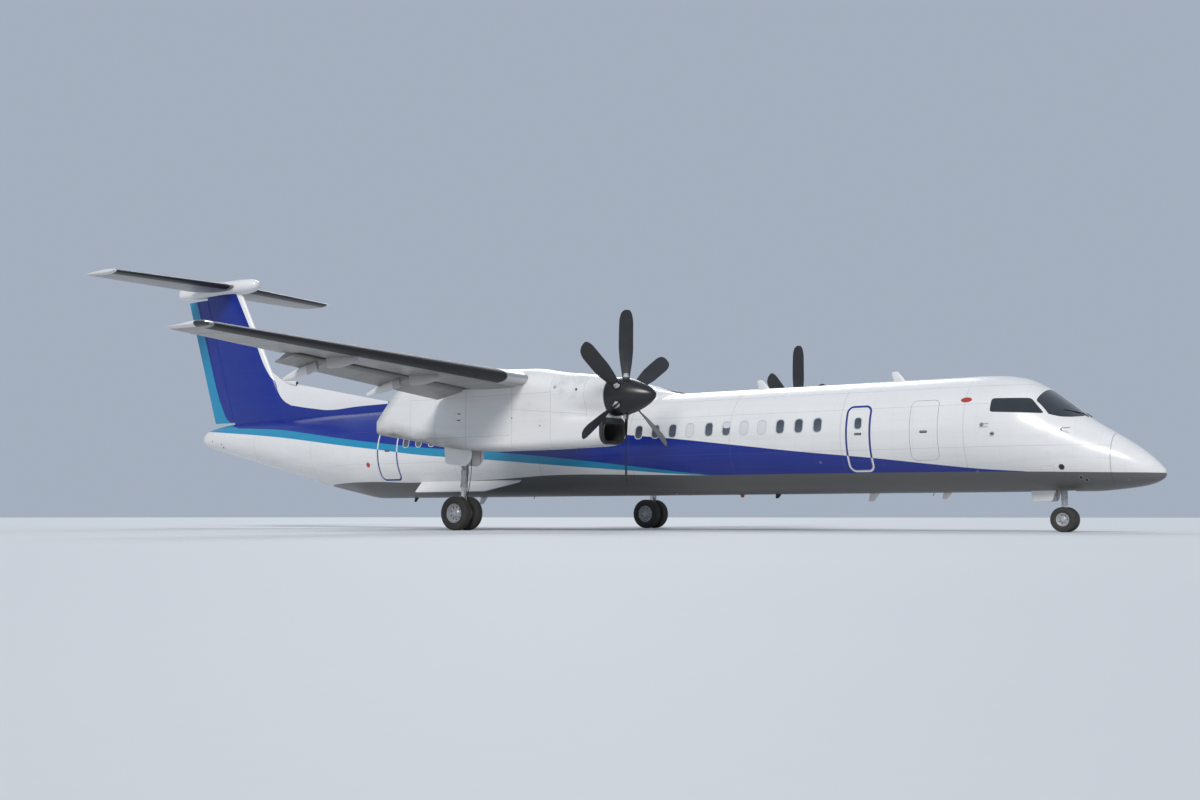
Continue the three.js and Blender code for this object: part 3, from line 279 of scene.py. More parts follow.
def carve(mesh, tool, name="carved"):
    """Cuts a closed mesh by a closed tool mesh; cut faces take the tool's finish numbers."""
    work = bpy.data.objects.new("work", mesh)
    knife = bpy.data.objects.new("knife", tool)
    for thing in (work, knife):
        bpy.context.scene.collection.objects.link(thing)
    numbers = max(max((p.material_index for p in m.polygons), default=0) for m in (mesh, tool)) + 1
    blanks = [bpy.data.materials.new(f"blank_{i}") for i in range(numbers)]
    for m in (mesh, tool):
        refinish(m, blanks)
    cut = work.modifiers.new("cut", "BOOLEAN")
    cut.operation = "DIFFERENCE"
    cut.solver = "EXACT"
    cut.object = knife
    cut.material_mode = "TRANSFER"
    bpy.context.view_layer.update()
    result = bpy.data.meshes.new_from_object(work.evaluated_get(bpy.context.evaluated_depsgraph_get()))
    result.name = name
    for thing in (work, knife):
        bpy.data.objects.remove(thing)
    for old in (mesh, tool):
        bpy.data.meshes.remove(old)
    if not result.polygons:
        raise RuntimeError(f"Nothing is left of {name}: its cutting pieces overlap")
    refinish(result, [])
    for blank in blanks:
        bpy.data.materials.remove(blank)
    return result


def rounded(fore, aft, low, high, corner, steps=6):
    """Outline of a rectangle with rounded corners, as stations and heights."""
    a = np.linspace(0, np.pi / 2, steps + 1)
    corners = []
    for s, h, start in ((aft, high, 0), (fore, high, 1), (fore, low, 2), (aft, low, 3)):
        cs = s - corner if s == aft else s + corner
        ch = h - corner if h == high else h + corner
        angle = a + start * np.pi / 2
        corners.append(np.column_stack([cs + corner * np.cos(angle), ch + corner * np.sin(angle)]))
    return np.concatenate(corners)


# Finishes

class Wire:
    """A number in a material's nodes. Arithmetic on wires adds the Math nodes that work it out."""

    def __init__(self, finish, socket):
        self.finish = finish
        self.socket = socket

    def maths(self, operation, *values, clamp=False):
        settings = {"operation": operation, "use_clamp": clamp}
        return self.finish.node("ShaderNodeMath", settings, dict(enumerate(values)))

    def __add__(self, other):
        return self.maths("ADD", self, other)

    def __sub__(self, other):
        return self.maths("SUBTRACT", self, other)

    def __rsub__(self, other):
        return self.maths("SUBTRACT", other, self)

    def __mul__(self, other):
        return self.maths("MULTIPLY", self, other)

    def __truediv__(self, other):
        return self.maths("DIVIDE", self, other)

    def __pow__(self, other):
        return self.maths("POWER", self, other)

    def __mod__(self, other):
        return self.maths("FLOORED_MODULO", self, other)

    def __abs__(self):
        return self.maths("ABSOLUTE", self)

    __radd__ = __add__
    __rmul__ = __mul__

    def most(self, other):
        return self.maths("MAXIMUM", self, other)

    def least(self, other):
        return self.maths("MINIMUM", self, other)

    def root(self):
        return self.maths("SQRT", self)

    def clamp(self):
        return self.maths("ADD", self, 0.0, clamp=True)

    def above(self, edge, soft=0.006):
        """1 where the value is above the edge, 0 below it, with a narrow soft change."""
        return self.maths("ADD", (self - edge) / soft, 0.5, clamp=True)

    def below(self, edge, soft=0.006):
        return self.maths("ADD", (edge - self) / soft, 0.5, clamp=True)

    def between(self, low, high, soft=0.006):
        return self.above(low, soft) * self.below(high, soft)

    def line(self, place, width):
        """1 on a thin line at a place."""
        return abs(self - place).below(width / 2, width / 2)

    def seams(self, pitch, start, width):
        """1 on thin lines that repeat at a pitch."""
        return abs((self - (start - pitch / 2)) % pitch - pitch / 2).below(width / 2, width / 2)


class Finish:
    """A procedural material in the making, on one Principled shader."""

    def __init__(self, name):
        self.material = bpy.data.materials.new(name)
        self.material.use_nodes = True
        self.tree = self.material.node_tree
        self.shader = self.tree.nodes["Principled BSDF"]
        self.coordinates = self.tree.nodes.new("ShaderNodeTexCoord").outputs["Object"]

    def plug(self, socket, value):
        if isinstance(value, Wire):
            self.tree.links.new(value.socket, socket)
        elif hasattr(socket.default_value, "__len__") and len(value) == 3 and len(socket.default_value) == 4:
            socket.default_value = (*value, 1.0)
        else:
            socket.default_value = value

    def set(self, socket, value):
        self.plug(self.shader.inputs[socket], value)
        return self

    def node(self, kind, settings=None, values=None, output=0):
        """Adds a node: its settings first, then the values or wires of its sockets."""
        node = self.tree.nodes.new(kind)
        for key, value in (settings or {}).items():
            if key == "points":
                bend = node.mapping.curves[0]
                bend.points[0].location, bend.points[-1].location = value[0], value[-1]
                for place in value[1:-1]:
                    bend.points.new(*place)
                for point in bend.points:
                    point.handle_type = "AUTO_CLAMPED"
                node.mapping.update()
            else:
                setattr(node, key, value)
        for key, value in (values or {}).items():
            self.plug(node.inputs[key], value)
        return Wire(self, node.outputs[output])

    def xyz(self):
        """The three coordinates of the point being painted."""
        source = Wire(self, self.coordinates)
        return [self.node("ShaderNodeSeparateXYZ", None, {0: source}, output=i) for i in range(3)]

    def noise(self, scale, detail=4.0, rough=0.55, stretch=None):
        """Clouds or grain; where coordinates are scaled by a stretch, it runs one way."""
        source = Wire(self, self.coordinates)
        if stretch:
            source = self.node("ShaderNodeVectorMath", {"operation": "MULTIPLY"}, {0: source, 1: stretch})
        values = {"Vector": source, "Scale": scale, "Detail": detail, "Roughness": rough}
        return self.node("ShaderNodeTexNoise", None, values)

    def blots(self, edge, gain, *noise):
        """Spots where a noise passes an edge, sharper with more gain."""
        return ((self.noise(*noise) - edge) * gain).clamp()

    def curve(self, key, rows, low, high):
        """A number read from a table of (key, value) rows, between the lowest and highest key and value."""
        keys = [row[0] for row in rows]
        span = keys[-1] - keys[0]
        points = [((k - keys[0]) / span, (v - low) / (high - low)) for k, v in rows]
        place = ((key - keys[0]) / span).clamp()
        return self.node("ShaderNodeFloatCurve", {"points": points}, {1: place}) * (high - low) + low

    def mix(self, a, b, share):
        """Colour b over colour a by a share."""
        settings = {"data_type": "RGBA"}
        return self.node("ShaderNodeMix", settings, {0: share, 6: a, 7: b}, output=2)

    def coat(self, weight, rough=None):
        """Clear varnish over the finish."""
        self.set("Coat Weight", weight)
        if rough is not None:
            self.set("Coat Roughness", rough)

    def plain(self, tones, cloud, rough, grain=None, metal=None, relief=None, coat=None):
        """Two colours in clouds. The grain, or else the clouds, sets the roughness, metal and relief."""
        cloud = self.noise(*cloud)
        grain = self.noise(*grain) if grain else cloud
        self.set("Base Color", self.mix(*tones, cloud))
        self.set("Roughness", rough[0] + grain * rough[1])
        if metal:
            self.set("Metallic", metal[0] + grain * metal[1])
        if relief:
            self.bump(grain, *relief)
        if coat:
            self.coat(*coat)

    def bump(self, height, depth, strength=1.0):
        values = {"Height": height, "Distance": depth, "Strength": strength}
        return self.set("Normal", self.node("ShaderNodeBump", None, values))


MADE = {}
RECIPES = {}


def recipe(function):
    """Lists a finish by its function's name; the function is given the finish to fill in."""
    RECIPES[function.__name__] = function
    return function


def material(name):
    """The finish of that name, made when it is first asked for."""
    if name not in MADE:
        f = Finish(name)
        if name in PLAIN_FINISHES:
            f.plain(**PLAIN_FINISHES[name])
        else:
            RECIPES[name](f)
        MADE[name] = f.material
    return MADE[name]


def tone(name):
    """A colour that the user set in the paint panel."""
    return tuple(getattr(bpy.context.scene.airliner_paint, name))


# Paint scheme on the side view: rows of (station, height)
BELLY_EDGE = [(0.0, -0.963), (1.2, -0.942), (3.0, -0.905), (5.0, -0.885), (8.4, -0.868), (10.6, -0.862),
              (12.6, -0.822), (15.2, -0.775), (18.0, -0.87), (20.8, -0.912), (22.6, -0.868), (23.7, -0.882),
              (24.6, -0.918), (24.9, -0.96), (25.05, -1.3)]
BLUE_TOP = [(2.75, -0.905), (3.7, -0.835), (4.8, -0.713), (6.2, -0.544), (8.2, -0.335), (10.1, -0.109),
            (11.8, 0.09), (13.1, 0.22), (15.0, 0.42), (16.35, 0.62), (17.8, 0.877), (19.2, 1.12),
            (20.3, 1.36)]
CYAN_TOP = [(10.65, -0.871), (11.6, -0.768), (13.0, -0.6), (15.0, -0.37), (17.6, -0.11), (20.4, 0.10),
            (22.1, 0.28), (24.0, 0.50), (25.7, 0.72), (26.8, 0.85), (28.1, 0.94), (29.7, 1.02),
            (31.4, 1.06)]
CYAN_LOW = [(10.65, -0.871), (11.85, -0.806), (13.1, -0.706), (15.1, -0.55), (17.7, -0.33), (20.4, -0.12),
            (22.1, 0.08), (24.0, 0.29), (25.6, 0.48), (26.7, 0.60), (28.1, 0.73), (29.7, 0.86),
            (31.4, 0.99)]
DORSAL_LINE = [(22.93, 1.571), (24.2, 1.534), (25.3, 1.474), (26.2, 1.56), (27.15, 1.70)]
# Rows of (height, station)
FIN_WHITE_EDGE = [(1.70, 27.15), (1.86, 27.49), (2.17, 27.81), (2.51, 27.99), (2.70, 28.19),
                  (4.10, 29.04), (5.90, 30.10)]
FIN_CYAN_EDGE = [(0.95, 29.0), (1.12, 29.75), (1.19, 29.97), (1.30, 30.18), (1.42, 30.33), (1.71, 30.52),
                 (2.09, 30.73), (3.26, 31.19), (4.49, 31.64), (5.90, 32.17)]
BLUE_FRONT = 2.75
CYAN_FRONT = 10.65
DORSAL_BLUE = (20.3, 22.93)
FRAME_PITCH = 0.503
LAP_JOINTS = (-0.95, -0.35, 0.62, 1.05)

# Doors: fore and aft edge, low and high edge, side, outline in paint
CABIN_DOORS = {
    "airstair_door": (4.35, 5.11, -0.78, 0.87, 1, True),
    "aft_passenger_door": (20.93, 21.69, -0.78, 0.87, 1, True),
    "aft_baggage_door": (22.25, 23.52, -0.50, 0.78, 1, False),
    "forward_exit_door": (6.30, 6.87, -0.82, 0.67, -1, True),
    "forward_baggage_door": (4.62, 5.30, -0.62, 0.76, -1, False),
    "aft_service_door": (21.31, 22.05, -0.81, 0.71, -1, True),
}
DOOR_CORNER = 0.13
# Inner and outer edge of the painted outline, as distances outside the door's edge
OUTLINE_BAND = (-0.012, 0.038)

# Plain red marks on the starboard side: station, height, half length, half height
RED_MARKS = [(22.49, -0.371, 0.075, 0.075), (4.0, 0.725, 0.13, 0.06)]
# Hatch low on the nose: fore and aft edge, low and high edge
NOSE_HATCH = (2.14, 2.40, -1.14, -0.79)


def side_view(f):
    """Station, height and distance from the middle, at the point being painted."""
    x, y, z = f.xyz()
    return NOSE_X - x, z - CENTRE_Z, y


def round_box(s, h, fore, aft, low, high, corner):
    """Distance from a rounded rectangle's edge in the side view, negative inside."""
    across = abs(s - (fore + aft) / 2) - ((aft - fore) / 2 - corner)
    up = abs(h - (low + high) / 2) - ((high - low) / 2 - corner)
    outside = (across.most(0) ** 2 + up.most(0) ** 2).root()
    return outside + across.most(up).least(0) - corner


def scheme(f, s, h):
    """Colour of the stripes and the belly, and the share of it that is white paint."""
    blue_top = f.curve(s, BLUE_TOP, -1.5, 1.5)
    stripe = h.below(blue_top) * s.above(BLUE_FRONT)
    front_blue = s.between(*DORSAL_BLUE)
    fin_white = h.above(f.curve(s, DORSAL_LINE, 1.0, 2.0)) * s.below(f.curve(h, FIN_WHITE_EDGE, 26, 34))
    tail_blue = s.above(DORSAL_BLUE[1]) * (1 - fin_white)
    blue = stripe.most(front_blue).most(tail_blue)
    rear = s.above(f.curve(h, FIN_CYAN_EDGE, 28, 34)) * h.above(0.9)
    cyan_top = f.curve(s, CYAN_TOP, -1.5, 1.5)
    cyan_low = f.curve(s, CYAN_LOW, -1.5, 1.5)
    cyan = h.below(cyan_top).most(rear) * s.above(CYAN_FRONT)
    under = h.below(cyan_low) * s.above(CYAN_FRONT)
    belly = h.below(f.curve(s, BELLY_EDGE, -1.5, 0))
    paint = f.mix(tone("white"), tone("blue"), blue * (1 - under))
    paint = f.mix(paint, tone("cyan"), cyan * (1 - under))
    paint = f.mix(paint, tone("grey"), belly)
    plain = (1 - blue.most(cyan)).most(under) * (1 - belly)
    return paint, plain, belly


def grime(f, paint, amount, scale=1.0):
    """Paint dulled by patches and by streaks that run aft; the amount may vary over the surface."""
    patches = f.noise(0.9 * scale, 5, 0.6)
    streaks = f.noise(1.0, 6, 0.62, (0.35 * scale, 5.0 * scale, 5.0 * scale))
    grain = f.noise(24.0 * scale, 3, 0.7)
    dirt = ((patches * 0.45 + streaks * 0.65 - 0.42) * 2.2).clamp() * amount
    dirt = dirt + (grain - 0.5) * amount * 0.35
    return f.mix(paint, (0.235, 0.215, 0.19), dirt.clamp()), dirt


@recipe
def body_paint(f):
    f.coat(0.15, 0.12)
    s, h, y = side_view(f)
    paint, plain, belly = scheme(f, s, h)
    for fore, aft, low, high, side, outlined in CABIN_DOORS.values():
        if outlined:
            here = y.above(0) if side > 0 else y.below(0)
            edge = round_box(s, h, fore, aft, low, high, DOOR_CORNER)
            band = edge.between(*OUTLINE_BAND) * here * s.between(fore - 0.5, aft + 0.5)
            paint = f.mix(paint, f.mix(tone("white"), tone("blue"), plain), band)
    starboard = y.below(0)
    for station, height, long, tall in RED_MARKS:
        oval = (((s - station) / long) ** 2 + ((h - height) / tall) ** 2).root()
        paint = f.mix(paint, (0.42, 0.045, 0.030), oval.below(1.0, 0.06) * starboard)
    fore, aft, low, high = NOSE_HATCH
    hatch = round_box(s, h, fore, aft, low, high, 0.03).line(0, 0.008) * s.between(fore - 0.05, aft + 0.05)
    barrel = h.below(1.36)
    rings = s.seams(FRAME_PITCH * 6, 1.0, 0.012).most(s.line(1.0, 0.02)) * barrel
    laps = h.line(LAP_JOINTS[0], 0.010)
    for lap in LAP_JOINTS[1:]:
        laps = laps.most(h.line(lap, 0.010))
    laps = laps * barrel * s.between(1.0, 24.0)
    joints = rings.most(laps).most(hatch)
    rivets = s.seams(FRAME_PITCH, 0.2, 0.02).most(rings) * barrel
    dots = abs(h % 0.06 - 0.03).below(0.011, 0.006) * rivets
    low_side = h.below(-0.1, 1.2)
    soil = f.blots(0.45, 3, 1.0, 6, 0.6, (0.5, 3.0, 9.0)) * low_side * (plain * 0.12 + 0.04)
    paint = f.mix(paint, (0.30, 0.27, 0.23), soil)
    paint, dirt = grime(f, paint, plain * 0.11 + 0.045)
    oil = f.blots(0.52, 5, 1.0, 5, 0.6, (0.22, 6, 6)) * h.below(-1.05, 0.35)
    paint = f.mix(paint, (0.12, 0.11, 0.10), oil * 0.4)
    # Darker towards the keel in a smooth band: painted shade of the underside, partly dirt.
    keel_shade_and_soil = h.below(-1.20, 0.5) * s.between(1.0, 22.0, 3.0)
    paint = f.mix(paint, (0.045, 0.045, 0.046), keel_shade_and_soil * 0.45)
    f.set("Base Color", f.mix(paint, (0.10, 0.10, 0.11), joints * 0.32 + dots * 0.10))
    f.set("Roughness", (0.24 + dirt * 0.9 + belly * 0.12 + soil * 0.6).clamp())
    waves = f.noise(2.2, 2, 0.5) * 0.6 + f.noise(14, 2, 0.5) * 0.08
    f.bump(waves - joints * 0.5 - dots * 0.18, 0.004, 0.5)


@recipe
def cabin_glass(f):
    f.coat(1.0, 0.03)
    _, h, _ = side_view(f)
    inside = f.noise(1.0, 2, 0.5, (2.6, 1, 3.5))
    low = h.below(0.20, 0.25)
    base = f.mix((0.018, 0.025, 0.036), (0.075, 0.095, 0.12), inside)
    f.set("Base Color", f.mix(base, (0.20, 0.23, 0.26), low * 0.35))
    f.set("Roughness", 0.06 + inside * 0.08)


@recipe
def window_blind(f):
    f.coat(0.8, 0.05)
    _, h, _ = side_view(f)
    fold = h.seams(0.04, 0.0, 0.006)
    f.set("Base Color", f.mix((0.66, 0.67, 0.68), (0.50, 0.52, 0.54), fold))
    f.set("Roughness", 0.35 + fold * 0.2)


def chord_place(s, across):
    """Distance aft of the wing's leading edge, and the local chord."""
    root, tip = (across / 4.95).clamp(), ((across - 4.95) / 9.26).clamp()
    return s - (13.5 + root * 0.14 + tip * 0.61), 2.9 - root * 0.32 - tip * 1.42


@recipe
def wing_paint(f):
    s, _, y = side_view(f)
    across = abs(y)
    back, chord = chord_place(s, across)
    share = back / chord
    # White on the tip's outermost rounded edge: partly the white tip cap, partly a painted highlight.
    paint = f.mix(tone("wing"), tone("white"), across.above(14.13, 0.004) * 0.9)
    paint, dirt = grime(f, paint, 0.16)
    stain = f.blots(0.50, 4, 1.0, 6, 0.65, (0.30, 7.0, 2.0)) * share.above(0.25, 0.4)
    paint = f.mix(paint, (0.13, 0.12, 0.11), stain * 0.35)
    spar = share.line(0.16, 0.006).most(share.line(0.36, 0.004)).most(share.line(0.60, 0.006))
    ribs = across.seams(1.44, 0.97, 0.010).most(across.line(10.93, 0.02))
    joints = spar.most(ribs)
    hatch_up = abs((across - 0.25) % 0.72 - 0.36) / 0.19
    hatch_on = abs(share - 0.48) * chord / 0.085
    oval = (hatch_up ** 2 + hatch_on ** 2).root()
    hatches = oval.line(1.0, 0.05) * across.above(5.3) * across.below(13.6)
    boot = back.below(0.30, 0.004) * across.between(5.62, 14.0).most(across.between(1.15, 3.55))
    lens = back.below(0.36, 0.004) * across.above(14.12, 0.004)
    soot = f.blots(0.5, 5, 2.2, 5, 0.7) * across.between(10.2, 11.5, 0.3) * share.above(0.55, 0.2)
    paint = f.mix(paint, (0.10, 0.060, 0.035), soot * 0.45)
    patch = back.below(0.34, 0.004) * across.between(4.90, 5.62)
    paint = f.mix(paint, (0.09, 0.09, 0.095), joints * 0.35 + hatches * 0.18)
    metal = f.noise(30, 3, 0.6, (1, 6, 1))
    paint = f.mix(paint, f.mix((0.42, 0.43, 0.44), (0.60, 0.60, 0.60), metal), patch)
    rubber = f.mix((0.003, 0.004, 0.005), (0.009, 0.010, 0.012), f.noise(6, 4, 0.6))
    cells = across.seams(0.62, 0.1, 0.012) * boot
    paint = f.mix(paint, f.mix(rubber, (0.03, 0.03, 0.03), cells * 0.6), boot)
    f.set("Base Color", f.mix(paint, (0.012, 0.014, 0.016), lens))
    rough = (0.30 + dirt * 0.8 + stain * 0.2) * (1 - lens * 0.8)
    f.set("Roughness", (rough + boot * (0.55 - rough) + patch * 0.02).clamp())
    f.set("Metallic", patch * 0.85)
    f.coat((1 - boot) * 0.15, 0.2)
    f.bump(f.noise(3.0, 2, 0.5) * 0.5 - joints * 0.6 - hatches * 0.4 + boot * 0.8, 0.004, 0.5)


def worn_white(f):
    """White paint with grime."""
    f.coat(0.2, 0.12)
    return grime(f, tone("white"), 0.18)


@recipe
def fairing_paint(f):
    s, h, y = side_view(f)
    paint, dirt = worn_white(f)
    joints = s.seams(0.45, 12.6, 0.009).most(h.line(1.12, 0.010)).most(abs(y).line(0.55, 0.01) * h.above(1.3))
    f.set("Base Color", f.mix(paint, (0.10, 0.10, 0.10), joints * 0.4))
    f.set("Roughness", 0.28 + dirt * 0.8)
    f.bump(f.noise(2.4, 2, 0.5) * 0.6 - joints * 0.5, 0.004, 0.5)


@recipe
def white_gloss(f):
    paint, dirt = worn_white(f)
    f.set("Base Color", paint)
    f.set("Roughness", 0.27 + dirt * 0.8)
    f.bump(f.noise(3, 2, 0.5), 0.003, 0.5)


# Upright seams round the nacelle: station, width
COWL_SEAMS = ((12.91, 0.010), (14.10, 0.012), (15.58, 0.014), (16.62, 0.012), (17.5, 0.010))


@recipe
def nacelle_paint(f):
    s, h, _ = side_view(f)
    paint, dirt = worn_white(f)
    seams = s.line(11.95, 0.012) * h.above(0.45)
    for station, width in COWL_SEAMS:
        seams = seams.most(s.line(station, width))
    fold = h - (s - 11.55) * 0.09
    long = fold.line(0.48, 0.012) * s.between(11.95, 14.1)
    long = long.most(h.line(0.08, 0.012) * s.between(14.15, 18.4))
    long = long.most(h.line(1.08, 0.010) * s.between(12.91, 17.5))
    joints = seams.most(long)
    boot = s.below(11.505, 0.004) * h.below(0.43, 0.02)
    cloud = f.noise(1.4, 5, 0.62)
    streak = f.noise(1.0, 6, 0.62, (0.5, 5.0, 5.0))
    rim = (s + h).above(19.35, 0.5)
    corner = h.below((s - 15.0) * 0.19 - 0.20, 0.34) * s.above(14.6, 3.0)
    soot = ((cloud * 0.5 + streak * 0.6 - 0.20) * 1.9).clamp() * (rim * 0.85).most(corner * 0.9)
    smudge = f.blots(0.54, 6, 1.8, 5, 0.65) * s.between(11.9, 13.6, 0.4) * h.above(0.5, 0.3) * 0.3
    paint = f.mix(paint, (0.085, 0.072, 0.054), soot)
    paint = f.mix(paint, (0.25, 0.24, 0.23), smudge)
    paint = f.mix(paint, (0.07, 0.07, 0.07), joints * 0.32)
    rubber = f.mix((0.010, 0.010, 0.011), (0.030, 0.030, 0.031), f.noise(7, 4, 0.6))
    f.set("Base Color", f.mix(paint, rubber, boot))
    f.set("Roughness", (0.27 + dirt * 0.8 + soot * 0.35 + boot * 0.15).clamp())
    f.bump(f.noise(2.4, 2, 0.5) * 0.6 - joints * 0.6, 0.004, 0.5)


@recipe
def canoe_paint(f):
    f.coat(0.15, 0.2)
    s, _, _ = side_view(f)
    base = f.mix(tone("wing"), tone("white"), s.above(15.75, 0.02) * 0.55 + 0.40)
    paint, dirt = grime(f, base, 0.28, 2.0)
    f.set("Base Color", paint)
    f.set("Roughness", 0.32 + dirt * 0.7)
    f.bump(f.noise(12, 3, 0.5), 0.002, 0.5)


# Dark grey of the hollows behind the shrouds and in the hinge sockets: partly grease, partly painted shade of
# the hollow.
@recipe
def cove_grey(f):
    cloud = f.noise(4, 5, 0.65)
    grease = f.blots(0.45, 3, 1.0, 5, 0.65, (3.0, 0.8, 3.0))
    paint = f.mix((0.085, 0.085, 0.082), (0.050, 0.047, 0.044), cloud)
    f.set("Base Color", f.mix(paint, (0.022, 0.018, 0.015), grease * 0.7))
    f.set("Roughness", 0.55 + cloud * 0.2)


@recipe
def bay_primer(f):
    cloud = f.noise(3, 5, 0.6)
    grit = f.noise(30, 4, 0.7)
    ribs = f.xyz()[0].seams(0.16, 0, 0.02)
    paint = f.mix((0.20, 0.23, 0.20), (0.11, 0.12, 0.105), cloud)
    f.set("Base Color", f.mix(paint, (0.04, 0.04, 0.04), (grit * 0.5 + ribs * 0.4).clamp()))
    f.set("Roughness", 0.6 + grit * 0.25)
    f.bump(grit * 0.4 + ribs, 0.006, 0.6)


@recipe
def gear_grey(f):
    f.coat(0.1)
    cloud = f.noise(5, 5, 0.6)
    grit = f.noise(45, 4, 0.7)
    grease = f.blots(0.52, 6, 7, 5, 0.65)
    paint = f.mix((0.52, 0.535, 0.54), (0.38, 0.39, 0.395), cloud)
    f.set("Base Color", f.mix(paint, (0.07, 0.06, 0.05), grease * 0.55 + grit * 0.12))
    f.set("Roughness", 0.38 + grit * 0.25)
    f.bump(grit, 0.0015, 0.5)


@recipe
def tail_grey(f):
    f.coat(0.15, 0.2)
    s, h, y = side_view(f)
    across = abs(y)
    back = s - (29.82 + across * (0.59 / 4.635))
    paint = f.mix(tone("wing"), tone("white"), across.above(4.53, 0.004) * 0.9)
    paint, dirt = grime(f, paint, 0.22)
    joints = across.seams(0.75, 0.1, 0.010).most(back.line(0.75, 0.010)) * h.above(5.0)
    boot = back.below(0.24, 0.004) * across.between(0.42, 4.52)
    rubber = f.mix((0.005, 0.005, 0.006), (0.014, 0.014, 0.015), f.noise(6, 4, 0.6))
    paint = f.mix(paint, (0.09, 0.09, 0.095), joints * 0.5)
    f.set("Base Color", f.mix(paint, rubber, boot))
    rough = 0.32 + dirt * 0.8
    f.set("Roughness", (rough + boot * (0.50 - rough)).clamp())
    f.bump(f.noise(3.0, 2, 0.5) * 0.5 - joints * 0.6 + boot * 0.8, 0.004, 0.5)


@recipe
def blade_composite(f):
    f.coat(0.2, 0.25)
    cloud = f.noise(4, 5, 0.6)
    scuff = f.blots(0.60, 8, 26, 5, 0.75)
    paint = f.mix((0.010, 0.010, 0.012), (0.024, 0.025, 0.027), cloud)
    f.set("Base Color", f.mix(paint, (0.12, 0.12, 0.12), scuff * 0.25))
    f.set("Roughness", 0.34 + cloud * 0.15 + scuff * 0.15)
    f.bump(f.noise(90, 2, 0.6), 0.0006, 0.4)


@recipe
def spinner_paint(f):
    f.coat(0.2, 0.15)
    cloud = f.noise(3, 4, 0.6)
    bugs = f.blots(0.64, 10, 40, 4, 0.75)
    s, _, _ = side_view(f)
    ring = s.line(11.12, 0.008)
    paint = f.mix((0.004, 0.004, 0.005), (0.011, 0.011, 0.012), cloud)
    f.set("Base Color", f.mix(paint, (0.10, 0.09, 0.08), bugs * 0.25))
    f.set("Roughness", 0.28 + cloud * 0.12 + bugs * 0.25 + ring * 0.1)
    f.bump(f.noise(5, 2, 0.5) - ring * 0.8, 0.0015, 0.5)


@recipe
def wheel_paint(f):
    f.coat(0.2)
    cloud = f.noise(8, 5, 0.65)
    dust = f.blots(0.48, 2.5, 11, 6, 0.7)
    paint = f.mix((0.50, 0.51, 0.515), (0.42, 0.43, 0.435), cloud)
    f.set("Base Color", f.mix(paint, (0.13, 0.12, 0.11), dust * 0.35))
    f.set("Roughness", 0.32 + dust * 0.35)
    f.set("Metallic", 0.25 + cloud * 0.1)
    f.bump(dust, 0.001, 0.4)


@recipe
def sooty_steel(f):
    cloud = f.noise(5, 5, 0.65)
    grit = f.noise(50, 3, 0.7)
    f.set("Base Color", f.mix((0.035, 0.028, 0.024), (0.16, 0.125, 0.10), cloud))
    f.set("Metallic", 0.5 + cloud * 0.4)
    f.set("Roughness", 0.45 + grit * 0.3)
    f.bump(grit, 0.001, 0.5)


# Finishes of two colours. Cloud and grain: scale, detail, roughness and stretch of a noise. Rough and metal:
# lowest value, change over the grain. Relief: depth, strength. Coat: weight, roughness.
PLAIN_FINISHES = {
    "seal": dict(tones=((0.10, 0.10, 0.105), (0.16, 0.16, 0.165)), cloud=(60, 3), rough=(0.55, 0.2)),
    "window_rim": dict(tones=((0.46, 0.49, 0.53), (0.60, 0.62, 0.65)), cloud=(40, 3), rough=(0.3, 0.15)),
    "flight_glass": dict(tones=((0.006, 0.008, 0.010), (0.030, 0.036, 0.042)), cloud=(1.6, 3, 0.5),
                         rough=(0.05, 0.05), coat=(1.0, 0.02)),
    "boot_rubber": dict(tones=((0.012, 0.012, 0.013), (0.040, 0.039, 0.038)), cloud=(8, 5, 0.6),
                        grain=(60, 3, 0.7), rough=(0.42, 0.25), relief=(0.0012, 0.5)),
    # Near-black: the own colour of wipers, a vane and small aerials, and painted shade inside the intake
    # ducts, spinner holes, wheel holes, vents, ports, grips and the scoop's mouth.
    "duct_dark": dict(tones=((0.012, 0.012, 0.012), (0.045, 0.042, 0.040)), cloud=(20, 4, 0.7),
                      rough=(0.6, 0.2)),
    "tyre_rubber": dict(tones=((0.018, 0.018, 0.018), (0.060, 0.056, 0.050)), cloud=(9, 5, 0.65),
                        grain=(80, 3, 0.7), rough=(0.72, 0.2), relief=(0.0015, 0.6)),
    "bare_steel": dict(tones=((0.34, 0.345, 0.35), (0.52, 0.525, 0.53)), cloud=(1.0, 3, 0.7, (8, 90, 90)),
                       grain=(50, 3, 0.7), rough=(0.28, 0.2), metal=(0.85, 0.1)),
    "chrome": dict(tones=((0.70, 0.71, 0.73), (0.56, 0.55, 0.52)), cloud=(12, 4, 0.6), rough=(0.06, 0.12),
                   metal=(0.95, 0.05)),
    "hose_black": dict(tones=((0.012, 0.012, 0.012), (0.035, 0.035, 0.035)),
                       cloud=(1.0, 2, 0.6, (200, 200, 60)), rough=(0.5, 0.2)),
    "lamp_glass": dict(tones=((0.55, 0.58, 0.60), (0.75, 0.78, 0.80)), cloud=(50, 2, 0.5), rough=(0.08, 0.1),
                       coat=(1.0, 0.02)),
    "red_lens": dict(tones=((0.32, 0.008, 0.006), (0.50, 0.020, 0.014)), cloud=(60, 2, 0.5),
                     rough=(0.10, 0.08), coat=(1.0, 0.03)),
}


# Fuselage

